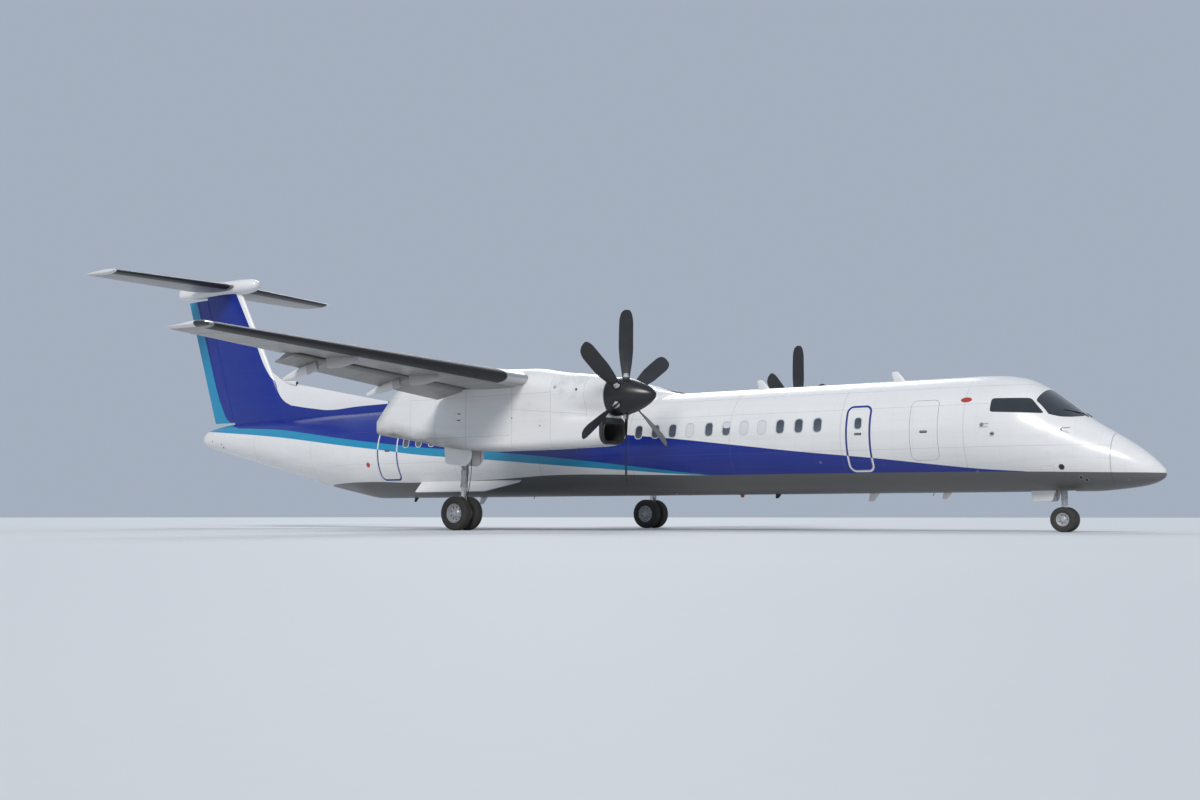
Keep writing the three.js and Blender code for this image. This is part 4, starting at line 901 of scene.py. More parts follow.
HULL = Curve([  # station, half width, top, bottom
    (0, 0.040, -0.930, -1.010), (0.08, 0.170, -0.800, -1.110), (0.25, 0.310, -0.620, -1.190),
    (0.5, 0.445, -0.410, -1.250), (1.0, 0.640, -0.070, -1.310), (1.5, 0.830, 0.245, -1.345),
    (2.0, 1.020, 0.645, -1.345), (2.5, 1.190, 1.010, -1.345), (3.0, 1.295, 1.245, -1.345),
    (3.5, 1.340, 1.325, -1.345), (4.0, 1.345, 1.345, -1.345), (22.9, 1.345, 1.345, -1.345),
    (24.0, 1.254, 1.329, -1.179), (29.0, 0.639, 1.219, -0.059), (30.0, 0.505, 1.170, 0.165),
    (30.8, 0.370, 1.070, 0.345), (31.25, 0.230, 0.950, 0.480), (31.42, 0.110, 0.827, 0.574),
], warp=np.sqrt)
BARREL_RADIUS = 1.345
RADOME_STATION = 1.0
TAIL_END = 31.42
HULL_SIDES = 96


def hull_at(station, angle, grow=0.0):
    """Point on the fuselage at an angle above the port side, moved outwards by a distance."""
    wide, top, low = HULL(station)
    centre, tall = (top + low) / 2, (top - low) / 2
    y = (wide + grow) * np.cos(angle)
    return at(station, y, centre + (tall + grow) * np.sin(angle))


def hull_angle(station, height):
    """Angle above the side at which the fuselage passes a height."""
    _, top, low = HULL(station)
    return np.arcsin(np.clip((height - (top + low) / 2) / ((top - low) / 2), -1, 1))


def hull_angle_across(station, across):
    """Angle at which the fuselage's upper half passes a distance from the middle."""
    return np.arccos(np.clip(across / HULL(station)[0], -1, 1))


def hull_normal(points):
    """Outward direction of the fuselage's skin at points of it."""
    station = NOSE_X - points[:, 0]
    y, h = points[:, 1], points[:, 2] - CENTRE_Z
    step = 0.004

    def level(s):
        wide, top, low = HULL(s)
        return (y / wide) ** 2 + ((h - (top + low) / 2) / ((top - low) / 2)) ** 2

    wide, top, low = HULL(station)
    lean = (level(station + step) - level(np.maximum(station - step, 0))) / (2 * step)
    slope = np.column_stack([-lean, 2 * y / wide ** 2, 2 * (h - (top + low) / 2) / ((top - low) / 2) ** 2])
    return slope / np.linalg.norm(slope, axis=1)[:, None]


def skin_plan(outline, across=False):
    """Outline as stations and angles round the fuselage, and its middle.

    The outline holds (station, height), or (station, distance from the middle) where across is true."""
    outline = fine(np.asarray(outline, float))
    angle = (hull_angle_across if across else hull_angle)(outline[:, 0], outline[:, 1])
    plan = np.column_stack([outline[:, 0], angle])
    return plan, (plan.min(axis=0) + plan.max(axis=0)) / 2


def skin_patch(shell, outline, side, outer, inner, tint=0, steps=5, across=False, edge_tint=None):
    """Closed piece that follows the fuselage between two offsets, inside an outline."""
    plan, middle = skin_plan(outline, across)
    scales = np.linspace(1, 0, steps + 1)[:-1]
    layers = [middle + (plan - middle) * k for k in scales]
    mirror = np.array([1, side, 1])
    rings = [hull_at(p[:, 0], p[:, 1], outer) * mirror for p in layers[::-1]]
    rings += [hull_at(p[:, 0], p[:, 1], inner) * mirror for p in layers]
    tints = np.full((len(rings) - 1, len(plan)), tint)
    if edge_tint is not None:
        tints[steps - 1] = edge_tint
    shell.loft(rings, tints, cap_tint=tint)
    return shell


def skin_ring(shell, outline, side, outer, inner, width, tint=0):
    """Closed band along the inside of an outline on the fuselage's skin."""
    plan, middle = skin_plan(outline)
    reach = plan - middle
    half = np.abs(reach).max(axis=0)
    shrink = 1 - np.array([width / half[0], width / BARREL_RADIUS / half[1]])
    inside = middle + reach * shrink
    mirror = np.array([1, side, 1])
    loops = [(plan, inner), (plan, outer), (inside, outer), (inside, inner)]
    rings = np.array([hull_at(p[:, 0], p[:, 1], g) * mirror for p, g in loops])
    shell.loft(rings, tint, wrap=True)
    return shell


# Cabin windows: runs of (first station, pitch, count); some have a blind pulled down by a share
WINDOW_RUNS = [(7.64, 0.503, 7), (11.22, 0.518, 5), (14.27, 0.53, 2), (15.50, 0.495, 12)]
WINDOW_HEIGHT = 0.28
WINDOW_SIZE = (0.25, 0.37)
WINDOW_CORNER = 0.10
BLINDS = {3: 1.0, 4: 1.0, 5: 0.45, 7: 1.0, 12: 0.3, 15: 0.7, 19: 1.0, 22: 0.4}
# Depth of a recess, and of the back of what lies in it
RECESS = 0.014
PANE_BACK = 0.0135
# Parts of a cabin window: distance in from the recess's edge, depth of the face
GLASS_INSET, GLASS_FACE = 0.018, 0.007
RIM_INSET, RIM_FACE, RIM_WIDTH = 0.0015, 0.0005, 0.020
BLIND_INSET, BLIND_FACE, BLIND_BACK = 0.021, 0.0055, 0.0068
# Depth of the seats cut for the doors; the airstair has steps on its inside
DOOR_SEAT, AIRSTAIR_SEAT = 0.02, 0.08


def window_stations(side):
    """Stations of a side's cabin windows, without those that a door on that side takes the place of."""
    places = [start + pitch * i for start, pitch, count in WINDOW_RUNS for i in range(count)]
    doors = [(fore - 0.2, aft + 0.2) for fore, aft, _, _, door_side, _ in CABIN_DOORS.values()
             if door_side == side]
    return [place for place in places if not any(fore < place < aft for fore, aft in doors)]


def pane(station, height=WINDOW_HEIGHT, size=WINDOW_SIZE, corner=WINDOW_CORNER, inset=0.0, low=0.0):
    """Outline of a cabin window, or of its upper part above a share of its height."""
    wide, tall = size[0] / 2 - inset, size[1] / 2 - inset
    bottom = height - tall + low * 2 * tall
    radius = min(corner - inset, wide * 0.95, (height + tall - bottom) * 0.45)
    return rounded(station - wide, station + wide, bottom, height + tall, radius, 4)


# Flight deck windows on the port side, seen from the side as (station, height) or from above
SIDE_PANE = [(3.43, 0.424), (3.42, 0.738), (2.61, 0.725), (2.30, 0.365)]
PILLAR_FRONT = [(2.51, 0.664), (2.22, 0.340)]
SCREEN_DEPTH = 0.75
# Half the width of the post between the two halves of the windscreen
MIDDLE_POST = 0.035


def softened(corners, radius):
    """Outline with each corner rounded off by a curve."""
    corners = np.asarray(corners, float)
    points = []
    for i, corner in enumerate(corners):
        before, after = corners[i - 1], corners[(i + 1) % len(corners)]
        ends = []
        for other in (before, after):
            way = other - corner
            ends.append(corner + way * min(0.45, radius / np.linalg.norm(way)))
        for t in np.linspace(0, 1, 5):
            points.append((1 - t) ** 2 * ends[0] + 2 * t * (1 - t) * corner + t * t * ends[1])
        points += [corner + (after - corner) * t for t in (0.35, 0.65)]
    return np.array(points)


def flight_panes():
    """Outlines of the flight deck's port windows, as (outline, measured across?)."""
    return [(softened(SIDE_PANE, 0.07), False), (windscreen(), True)]


def windscreen():
    """Port half of the windscreen, as (station, distance from the middle)."""
    top_station, low_station = (s for s, _ in PILLAR_FRONT)
    outer_top, outer_low = (float(hull_at(s, hull_angle(s, h))[1]) for s, h in PILLAR_FRONT)
    fore = Curve([(MIDDLE_POST, 1.62), (0.30, 1.655), (0.55, 1.775), (0.75, 1.96), (outer_low, low_station)])
    aft = Curve([(MIDDLE_POST, 2.40), (0.50, 2.45), (outer_top, top_station)])
    corners = [(0, MIDDLE_POST), (0, outer_low), (SCREEN_DEPTH, outer_top), (SCREEN_DEPTH, MIDDLE_POST)]
    plan = fine(softened(corners, 0.06), 0.03)
    share, across = plan[:, 0] / SCREEN_DEPTH, plan[:, 1]
    return np.column_stack([lerp(fore(across)[0], aft(across)[0], share), across])


NOSE_BAY = {"fore": 1.90, "aft": 2.90, "half": 0.230, "top": -0.850}


def seat_of_door(shell, name, depth):
    fore, aft, low, high, side, _ = CABIN_DOORS[name]
    outline = rounded(fore, aft, low, high, DOOR_CORNER)
    return skin_patch(shell, outline, side, 0.03, -depth, 1, steps=8)


class AIRLINER_OT_fuselage(bpy.types.Operator):
    """Smooth fuselage with its window and door recesses, and the radome"""

    bl_idname = "airliner.fuselage"
    bl_label = "Fuselage"

    def execute(self, context):
        a = turns(HULL_SIDES)
        nose = np.concatenate([[0.0], np.linspace(0.03, 1, 40) ** 2])
        radome = Shell().loft([hull_at(s, a) for s in nose])
        radome.make("radome_skin", "airframe", "white_paint", ["body_paint"], ["radome"])
        ends = [RADOME_STATION + 0.003, 4.0, 22.9, 30.0, TAIL_END]
        fore = spaced(ends[:2], 0.06)
        barrel = spaced(ends[1:3], 0.25)[1:]
        cone = spaced(ends[2:4], 0.12)[1:]
        tip = spaced(ends[3:], 0.05)[1:]
        body = Shell().loft([hull_at(s, a) for s in np.concatenate([fore, barrel, cone, tip])])
        tool = Shell()
        for _, side in SIDES:
            for station in window_stations(side):
                skin_patch(tool, pane(station), side, 0.02, -RECESS, 1, steps=3)
            for outline, across in flight_panes():
                skin_patch(tool, outline, side, 0.02, -RECESS, 1, steps=6, across=across)
        for name in CABIN_DOORS:
            seat_of_door(tool, name, AIRSTAIR_SEAT if name == "airstair_door" else DOOR_SEAT)
        bay = NOSE_BAY
        tool.block(at(bay["aft"], -bay["half"], -1.7), at(bay["fore"], bay["half"], bay["top"]), 2)
        skin = carve(body.mesh("fuselage"), tool.mesh("recesses"), "fuselage_skin")
        piece = dress(skin, "fuselage_skin", "airframe",
                      ["body_paint", "seal", "bay_primer"], ["fuselage"], None)
        smooth_by_form(piece.data, hull_normal)
        return {"FINISHED"}


def smooth_by_form(mesh, normal_of):
    """Shades the outer skin, finish 0, by the form's own normals and every cut face flat."""

    def column(rows, key, kind=int, width=1):
        values = np.empty(len(rows) * width, kind)
        rows.foreach_get(key, values)
        return values.reshape(-1, width) if width > 1 else values

    count = len(mesh.polygons)
    face = np.repeat(np.arange(count), column(mesh.polygons, "loop_total"))
    normals = column(mesh.polygons, "normal", float, 3)[face]
    end_face = abs(normals[:, 0]) > 0.999
    skin = (column(mesh.polygons, "material_index")[face] == 0) & ~end_face
    corner = column(mesh.loops, "vertex_index")[skin]
    normals[skin] = normal_of(column(mesh.vertices, "co", float, 3)[corner])
    mesh.polygons.foreach_set("use_smooth", np.ones(count, bool))
    mesh.normals_split_custom_set(normals.tolist())


class AIRLINER_OT_windows(bpy.types.Operator):
    """Cabin and flight deck windows with their rims and blinds"""

    bl_idname = "airliner.windows"
    bl_label = "Windows"

    def execute(self, context):
        for name, side in SIDES:
            shell = Shell()
            for i, station in enumerate(window_stations(side)):
                glass, rim = (pane(station, inset=inset) for inset in (GLASS_INSET, RIM_INSET))
                skin_patch(shell, glass, side, -GLASS_FACE, -PANE_BACK, 0, steps=3)
                skin_ring(shell, rim, side, -RIM_FACE, -PANE_BACK, RIM_WIDTH, 1)
                if i in BLINDS:
                    blind = pane(station, inset=BLIND_INSET, low=1 - BLINDS[i])
                    skin_patch(shell, blind, side, -BLIND_FACE, -BLIND_BACK, 2, steps=3)
            shell.make(f"cabin_windows_{name}", "airframe", "glazing",
                       ["cabin_glass", "window_rim", "window_blind"])
        deck = Shell()
        for _, side in SIDES:
            for outline, across in flight_panes():
                skin_patch(deck, outline, side, -0.006, -PANE_BACK, 0, steps=6, across=across)
        deck.make("flight_deck_windows", "airframe", "glazing", ["flight_glass"], ["cockpit_glazing"])
        return {"FINISHED"}


# Wing and tail surfaces

class Foil:
    """A straight-tapered surface with a four-digit section, lying flat or standing up.

    Rows hold span, leading edge, chord, offset, thickness, camber and incidence in degrees."""

    TRAILING_HALF = 0.003
    CREST = 0.4
    # Length of the ramp up to full thickness behind a shroud's lip
    STEP = 0.022

    def __init__(self, rows, upright=False):
        self.rows = np.array(rows, float)
        self.upright = upright

    def row(self, span):
        return [np.interp(span, self.rows[:, 0], self.rows[:, i]) for i in range(1, 7)]

    def skin(self, span, x, side):
        """Station and offset of the upper or lower skin at a share of the chord."""
        le, chord, offset, thickness, camber, incidence = self.row(span)
        half = 5 * thickness * (0.2969 * np.sqrt(x) - 0.126 * x - 0.3516 * x ** 2 + 0.2843 * x ** 3
                                - 0.1036 * x ** 4) * chord + self.TRAILING_HALF * x
        crest = self.CREST
        fore = camber / crest ** 2 * (2 * crest * x - x ** 2)
        aft = camber / (1 - crest) ** 2 * (1 - 2 * crest + 2 * crest * x - x ** 2)
        mean = offset + chord * (np.where(x < crest, fore, aft) - x * math.tan(math.radians(incidence)))
        return le + x * chord, mean + side * half

    def place(self, span, station, offset, sign=1):
        if self.upright:
            return at(station, offset, np.full_like(station, span))
        return at(station, np.full_like(station, sign * span), offset)

    def hinge(self, span, depth):
        """Station, offset and nose radius of a surface hinged a distance ahead of the trailing edge."""
        x = 1 - depth / self.row(span)[1]
        station, high = self.skin(span, x, 1)
        low = self.skin(span, x, -1)[1]
        return float(station), float((high + low) / 2), float((high - low) / 2)

    def share(self, span, station):
        le, chord = self.row(span)[:2]
        return (station - le) / chord

    def socket(self, span, depth):
        """Hollow rear wall that wraps round a hinged surface's nose, from the lower lip to the upper one."""
        station, centre, radius = self.hinge(span, depth)
        reach = radius + NOSE_GAP
        lip = math.asin((radius - LIP) / reach)
        a = np.linspace(-lip, lip, 2 * SOCKET_STEPS + 1)
        return station - reach * np.cos(a), centre + reach * np.sin(a)

    def front(self, span, top, low, cove=None, squeeze=1.0):
        """Section from the upper skin round the leading edge to the lower skin, then its rear wall."""
        t = np.linspace(1, 0, SKIN_STEPS + 1)
        upper = self.skin(span, top * (1 - np.cos(t * np.pi / 2)), 1)
        lower = self.skin(span, low * (1 - np.cos(t[::-1][1:] * np.pi / 2)), -1)
        station = np.concatenate([upper[0], lower[0]])
        offset = np.concatenate([upper[1], lower[1]])
        if cove is not None:
            station = np.concatenate([station, cove[0]])
            offset = np.concatenate([offset, cove[1]])
        if squeeze != 1.0:
            middle = (offset.max() + offset.min()) / 2
            offset = middle + (offset - middle) * squeeze
        return station, offset

    def moving(self, span, depth, steps=10, shroud=0.0, drop=0.0):
        """Section of a hinged surface with a round nose; its top is lowered under a shroud."""
        station, centre, radius = self.hinge(span, depth)
        x = self.share(span, station)
        edge = station - radius + shroud
        t = np.linspace(1, x, steps + 1)
        rise = [self.share(span, edge - k * self.STEP) for k in (0, 1)] if shroud else []
        upper = self.skin(span, np.sort(np.concatenate([t, rise]))[::-1], 1)
        lower = self.skin(span, t[::-1], -1)
        a = np.linspace(0, np.pi, 13)[1:-1]
        nose = (station - radius * np.sin(a), centre + radius * np.cos(a))
        s = np.concatenate([upper[0], nose[0], lower[0]])
        h = np.concatenate([upper[1], nose[1], lower[1]])
        if drop:
            high, low = (self.skin(span, np.clip(self.share(span, s), 0, 1), side)[1] for side in (1, -1))
            share = np.clip((edge - s) / shroud, 0, 1)
            rise = np.clip((h - low) / (high - low), 0, 1)
            h = h - rise * drop * (0.7 * np.clip((edge - s) / self.STEP, 0, 1) + 0.3 * share)
        return s, h


# Strips from the rear wall to the leading edge, and from a socket's middle to its lip
SKIN_STEPS = 22
SOCKET_STEPS = 8
WING = Foil([
    (0, 13.5, 2.9, 1.45, 0.18, 0.03, 2.5), (4.95, 13.64, 2.58, 1.425, 0.17, 0.03, 2.5),
    (14.21, 14.25, 1.16, 1.835, 0.13, 0.03, 1)])
WING_JOINT = 4.95
HALF_SPAN = 14.21
FLAP_DEPTH = 0.29
SHELF = 0.014
NOSE_GAP = 0.009
LIP = 0.004
AILERON_DEPTH = 0.26
AILERON = (10.96, 13.85)
FLAPS = {"flap_inner": (1.29, 3.83), "flap_outer": (4.99, 10.90)}
FLAP_ARC = 1.1
FLAP_SETTING = 15
CANOES = (7.34, 10.10)
# Thickness of a flap track fairing's fixed front and moving tail: share of the length, share of the size
CANOE_FRONT = [(0, 0.04), (0.25, 0.50), (0.6, 0.94), (0.85, 1.0), (1.0, 0.90)]
CANOE_TAIL = [(0, 0.80), (0.10, 0.95), (0.35, 0.92), (0.65, 0.66), (0.88, 0.28), (1.0, 0.04)]
# Gaps beside the flaps and outboard of an aileron or elevator, and the overlap of neighbouring lofts
FLAP_GAP = 0.03
TIP_GAP = 0.014
OVERLAP = 0.001
# Length of the shroud over a flap, and how far the flap's top is lowered under it
SHROUD = 0.43
FLAP_DROP = 0.026
# Length of the tip's rounding, and the reach that gives it at a last angle of 84 degrees
TIP_ROUND = 0.16
TIP_REACH = TIP_ROUND / math.sin(math.radians(84))


def hinge_wall(foil, span, depth):
    station, _, radius = foil.hinge(span, depth)
    return station - radius - SHELF


def flap_wall(span):
    return hinge_wall(WING, span, FLAP_DEPTH * WING.row(span)[1])


def cove_ring(span):
    """Wing section ahead of a flap: a thin shroud above, and a hollow that the flap's nose fits."""
    chord = WING.row(span)[1]
    wall = flap_wall(span)
    station, centre, radius = WING.hinge(span, FLAP_DEPTH * chord)
    lip = wall + SHROUD
    top, low = WING.share(span, lip), WING.share(span, wall)
    under = np.linspace(lip, station - radius * 0.4, 5)
    roof = WING.skin(span, WING.share(span, under), 1)[1] - 0.009
    a = np.linspace(0.75, 2.6, 7)
    hollow = np.minimum(station - (radius + SHELF) * np.sin(a), wall + 0.05)
    cove_s = np.concatenate([hollow[::-1], under[::-1]])
    cove_h = np.concatenate([(centre + (radius + LIP) * np.cos(a))[::-1], roof[::-1]])
    return WING.front(span, top, low, cove=(cove_s, cove_h))


# Finish of each strip of a cove ring: skin round the front, then the hollow and the shroud's underside
COVE_TINTS = [0] * (2 * SKIN_STEPS) + [2] * 12 + [0]


def plain_ring(foil, span, rear, squeeze=1.0):
    return foil.front(span, rear, rear, squeeze=squeeze)


def socket_ring(foil, span, depth):
    """Section of a fixed part ahead of a surface that is hinged a distance from the trailing edge."""
    hollow = foil.socket(span, depth)
    edge = foil.share(span, hollow[0][0])
    return foil.front(span, edge, edge, cove=hollow)


def socket_tints(tint, skin=2 * SKIN_STEPS):
    return [0] * skin + [tint] * (2 * SOCKET_STEPS + 2)


def wicks(shell, foil, spans, sign, tint):
    """Short rods along a trailing edge that let static charge off."""
    for span in spans:
        station, offset = (float(np.mean([foil.skin(span, 1, k)[i] for k in (1, -1)])) for i in (0, 1))
        root = foil.place(span, np.array(station - 0.004), np.array(offset), sign)
        shell.tube([root, root + np.array([-0.10, 0, 0.004])], [0.0035, 0.002], tint, 6)


def swing(points, origin, axis, degrees):
    turn = np.array(Matrix.Rotation(math.radians(degrees), 3, Vector(axis)))
    return (points - origin) @ turn.T + origin


def carriage(name, sign):
    """Ends of the line that a flap turns about, and its axis: a positive turn lowers the rear."""
    ends = []
    for span in FLAPS[name]:
        station, centre, radius = WING.hinge(span, FLAP_DEPTH * WING.row(span)[1])
        ends.append(at(station - radius, sign * span, centre - FLAP_ARC))
    way = (ends[1] - ends[0]) * -sign
    return ends, way / np.linalg.norm(way)


# Arcs about a flap's line: inner and outer radius, first and last angle in degrees, half width, points.
# Each rail has a foot at its front that fixes it to the wing, and a flap's fairing tails leave it room.
RAILS = [(0.900, 0.945, -14, 40, 0.018, 19), (0.905, 1.08, -14, -8.4, 0.018, 19)]
RAIL_SLOTS = [(0.888, 0.955, -70, 80, 0.025, 31)]


def canoe_shares():
    """Places of the flap track fairings, as shares of the outer flap's span."""
    inner, outer = FLAPS["flap_outer"]
    return [(span - inner) / (outer - inner) for span in CANOES]


def arcs(shell, name, sign, shares, rows, tint):
    """Bars that run round a flap's line, at shares of the flap's span."""
    ends, axis = carriage(name, sign)
    up = np.array([0, 0, 1.0])
    up -= axis * up.dot(axis)
    up /= np.linalg.norm(up)
    aft = np.cross(up, axis)
    aft = -aft if aft[0] > 0 else aft
    for share in shares:
        origin = lerp(ends[0], ends[1], share)
        for low, high, start, end, half, count in rows:
            angle = np.radians(np.linspace(start, end, count))[:, None]
            way = np.sin(angle) * aft + np.cos(angle) * up
            edges = ((low, -half), (high, -half), (high, half), (low, half))
            rings = [origin + r * way + w * axis for r, w in edges]
            shell.loft(np.array(rings).transpose(1, 0, 2), tint)
    return shell


def canoe(shell, span, fore, aft, rows, sign, tint, crown=1.0):
    """Slender body under the wing that hides a flap rail; its thickness goes by a short table.

    The crown flattens its upper half."""
    swell = Curve(rows)
    rings = []
    a = turns(20)
    for t in np.linspace(0, 1, 22):
        size = float(swell(t)[0])
        station = lerp(fore, aft, t)
        x = min(0.98, WING.share(span, station))
        low = WING.skin(span, x, -1)[1] - 0.075
        rings.append(at(station, sign * (span + 0.058 * size * np.cos(a)),
                        low + (0.035 + 0.115 * size) * np.where(a < np.pi, crown, 1) * np.sin(a)))
    shell.loft(rings, tint)


def tip_rows(start, base, reach, last, count):
    """Rows of (span, share of the thickness) for a surface's tip, rounded up to a last angle."""
    turn = np.radians(np.linspace(0, last, count))[1:]
    return [(start, 1.0), (base, 1.0)] + [(base + reach * math.sin(t), math.cos(t)) for t in turn]


SADDLE = Curve([  # station, half width, top, low edge
    (12.25, 0.30, 1.352, 1.0), (12.7, 0.76, 1.44, 0.70), (13.3, 1.06, 1.64, 0.64), (14.0, 1.16, 1.76, 0.68),
    (15.5, 1.20, 1.77, 0.76), (16.8, 1.18, 1.66, 0.92), (17.9, 0.90, 1.54, 1.0), (18.95, 0.30, 1.352, 1.10)])


class AIRLINER_OT_wing(bpy.types.Operator):
    """Wing with its fairing over the fuselage, the shrouds above the flaps and the round tips"""

    bl_idname = "airliner.wing"
    bl_label = "Wing"

    def execute(self, context):
        a = np.linspace(0, np.pi, 41)
        rings = []
        for station in spaced([12.25, 12.7, 18.2, 18.95], 0.12):
            wide, top, low = SADDLE(station)
            y = wide * np.sign(np.cos(a)) * np.abs(np.cos(a)) ** 0.55
            rings.append(at(station, y, low + (top - low) * np.sin(a) ** 0.7))
        Shell().loft(rings).make(
            "wing_fairing_skin", "airframe", "white_paint", ["fairing_paint"], ["wing_fairing"])

        inner, outer = FLAPS["flap_inner"]
        centre = Shell()
        for _, sign in SIDES:
            for span_from, span_to in ((0, inner - FLAP_GAP), (outer + FLAP_GAP, WING_JOINT)):
                centre.loft([WING.place(span, *plain_ring(WING, span, 0.99), sign)
                             for span in np.linspace(span_from, span_to, 4)])
            centre.loft([WING.place(span, *cove_ring(span), sign)
                         for span in np.linspace(inner - FLAP_GAP - OVERLAP, outer + FLAP_GAP - OVERLAP, 8)],
                        COVE_TINTS)
            arcs(centre, "flap_inner", sign, (0.1, 0.9), RAILS, 1)
        centre.make("wing_center_skin", "airframe", "grey_paint", ["wing_paint", "gear_grey", "cove_grey"],
                    ["wing_center"])
        start, end = AILERON[0] - 0.027, AILERON[1] + TIP_GAP
        for side, sign in SIDES:
            shell = Shell()
            shell.loft([WING.place(span, *cove_ring(span), sign)
                        for span in np.linspace(WING_JOINT, start + OVERLAP, 24)], COVE_TINTS)
            shell.loft([WING.place(span, *socket_ring(WING, span, AILERON_DEPTH * WING.row(span)[1]), sign)
                        for span in np.linspace(start, end, 12)], socket_tints(2))
            tip = tip_rows(end - OVERLAP, HALF_SPAN - TIP_ROUND, TIP_REACH, 84, 9)
            shell.loft([WING.place(span, *plain_ring(WING, span, 1.0, squeeze), sign)
                        for span, squeeze in tip])
            for span in CANOES:
                wall = flap_wall(span)
                canoe(shell, span, wall - 0.95, wall - 0.01, CANOE_FRONT, sign, 3)
            arcs(shell, "flap_outer", sign, canoe_shares(), RAILS, 1)
            shell.make(f"wing_outer_{side}_skin", "airframe", "grey_paint",
                       ["wing_paint", "gear_grey", "cove_grey", "canoe_paint"], [f"wing_outer_{side}"])
        return {"FINISHED"}


class AIRLINER_OT_flaps(bpy.types.Operator):
    """Flaps with their fairing tails, and the ailerons"""

    bl_idname = "airliner.flaps"
    bl_label = "Flaps and ailerons"

    def execute(self, context):
        for side, sign in SIDES:
            for name, (inner, outer) in FLAPS.items():
                shell = Shell()
                rings = []
                for span in np.linspace(inner, outer, 16):
                    chord = WING.row(span)[1]
                    section = WING.moving(span, FLAP_DEPTH * chord, 12, SHROUD + SHELF, FLAP_DROP)
                    rings.append(WING.place(span, *section, sign))
                shell.loft(rings)
                if name == "flap_outer":
                    for span in CANOES:
                        wall = flap_wall(span)
                        canoe(shell, span, wall + 0.064, wall + 1.18, CANOE_TAIL, sign, 1, crown=0.62)
                ends, axis = carriage(name, sign)
                turned = Shell()
                turned.add(swing(np.concatenate(shell.points), (ends[0] + ends[1]) / 2, axis, FLAP_SETTING),
                           shell.faces, shell.tints)
                mesh = turned.mesh(f"{name}_{side}")
                if name == "flap_outer":
                    room = arcs(Shell(), name, sign, canoe_shares(), RAIL_SLOTS, 1)
                    mesh = carve(mesh, room.mesh("slots"))
                dress(mesh, f"{name}_{side}_skin", f"{name}_{side}",
                      ["wing_paint", "canoe_paint"], [f"{name}_{side}"])
            shell = Shell()
            shell.loft([WING.place(span, *WING.moving(span, AILERON_DEPTH * WING.row(span)[1], 10), sign)
                        for span in np.linspace(*AILERON, 12)])
            wicks(shell, WING, (11.7, 12.6, 13.5), sign, 1)
            shell.make(f"aileron_{side}_skin", f"aileron_{side}", "grey_paint", ["wing_paint", "hose_black"],
                       [f"aileron_{side}"])
        return {"FINISHED"}


# Nacelles

NACELLE = Curve([  # station, top, bottom, half width, low corner radius
    (11.43, 1.40, -0.20, 0.500, 0.26), (11.8, 1.47, -0.23, 0.525, 0.24), (12.8, 1.59, -0.25, 0.535, 0.21),
    (13.7, 1.73, -0.262, 0.538, 0.19), (15.2, 1.77, -0.262, 0.532, 0.17), (16.3, 1.76, -0.165, 0.520, 0.16),
    (17.3, 1.69, 0.015, 0.480, 0.15), (18.1, 1.56, 0.14, 0.420, 0.14), (18.83, 1.45, 0.25, 0.340, 0.13)])
NACELLE_Y = 4.395
NACELLE_ENDS = (11.43, 18.83)
THRUST_HEIGHT = 0.93
COWL = {"aft": 13.1, "scoop_top": 0.47, "scoop_round": 0.21, "valley": 0.34}
INTAKE = {"fore": 11.30, "aft": 12.25, "low": -0.13, "high": 0.30, "half": 0.41, "shrink": 0.12}
WHEEL_BAY = {"fore": 15.60, "aft": 16.56, "half": 0.25, "top": 0.50}
OUTLET = {"station": 18.42, "height": 1.01, "outer": 0.235, "depth": 0.42}
OUTLET_SLOPE = np.array([-1, 0, 1]) / math.sqrt(2)
# Distance along the outlet's slope, radius
EXHAUST_PIPE = [(-0.415, 0.11275), (-0.415, 0.235), (0.05, 0.235), (0.06, 0.231), (0.06, 0.209),
                (0.05, 0.205), (-0.30, 0.205), (-0.34, 0.1845), (-0.36, 0.11275)]
EXHAUST_CORE = [(-0.40, 0.0001), (-0.40, 0.08), (-0.22, 0.05), (-0.12, 0.0001)]
PROP_STATION = 11.08
NACELLE_STEPS = 49
# How far a nacelle's section draws in at its rounded front
FRONT_ROUND = 0.034


def nacelle_ring(sign, station, squeeze=0.0):
    """Tall rounded box; at its front a round cowl and the intake's scoop with a valley between them."""
    top, bottom, wide, corner = NACELLE(station)
    middle, half = (top + bottom) / 2, (top - bottom) / 2
    h = middle + half * np.cos(np.linspace(0, np.pi, NACELLE_STEPS))
    shoulder = top - wide * 0.95
    crown = wide * np.sqrt(1 - np.clip((h - shoulder) / (top - shoulder), 0, 1) ** 2)
    foot = wide - corner + corner * np.sqrt(1 - np.clip((bottom + corner - h) / corner, 0, 1) ** 2)
    plain = np.minimum(crown, foot)
    radius = wide - 0.03
    cowl = np.sqrt(np.maximum(radius ** 2 - (h - top + radius) ** 2, 0))
    rise = np.clip((h - COWL["scoop_top"]) / COWL["scoop_round"] + 1, 0, 1)
    scoop = np.minimum(foot, wide * (1 - rise ** 2.5) ** 0.4)
    web = np.where(h < top - radius, COWL["valley"], 0)
    front = np.minimum(plain, (cowl ** 12 + scoop ** 12 + web ** 12) ** (1 / 12))
    share = np.clip((COWL["aft"] - station) / (COWL["aft"] - NACELLE_ENDS[0]), 0, 1)
    y = lerp(plain, front, share * share * (3 - 2 * share))
    flat = (wide - corner) * np.array([0.5, 0, -0.5])
    y = np.concatenate([y, flat, -y[:0:-1]]) * (1 - squeeze / wide)
    h = np.concatenate([h, [bottom] * 3, h[:0:-1]])
    return at(station, sign * NACELLE_Y + y, middle + (h - middle) * (1 - squeeze / half))


def oblong(station, y, low, high, half, corner=0.15):
    outline = rounded(-half, half, low, high, corner)
    return at(station, y + outline[:, 0], outline[:, 1])


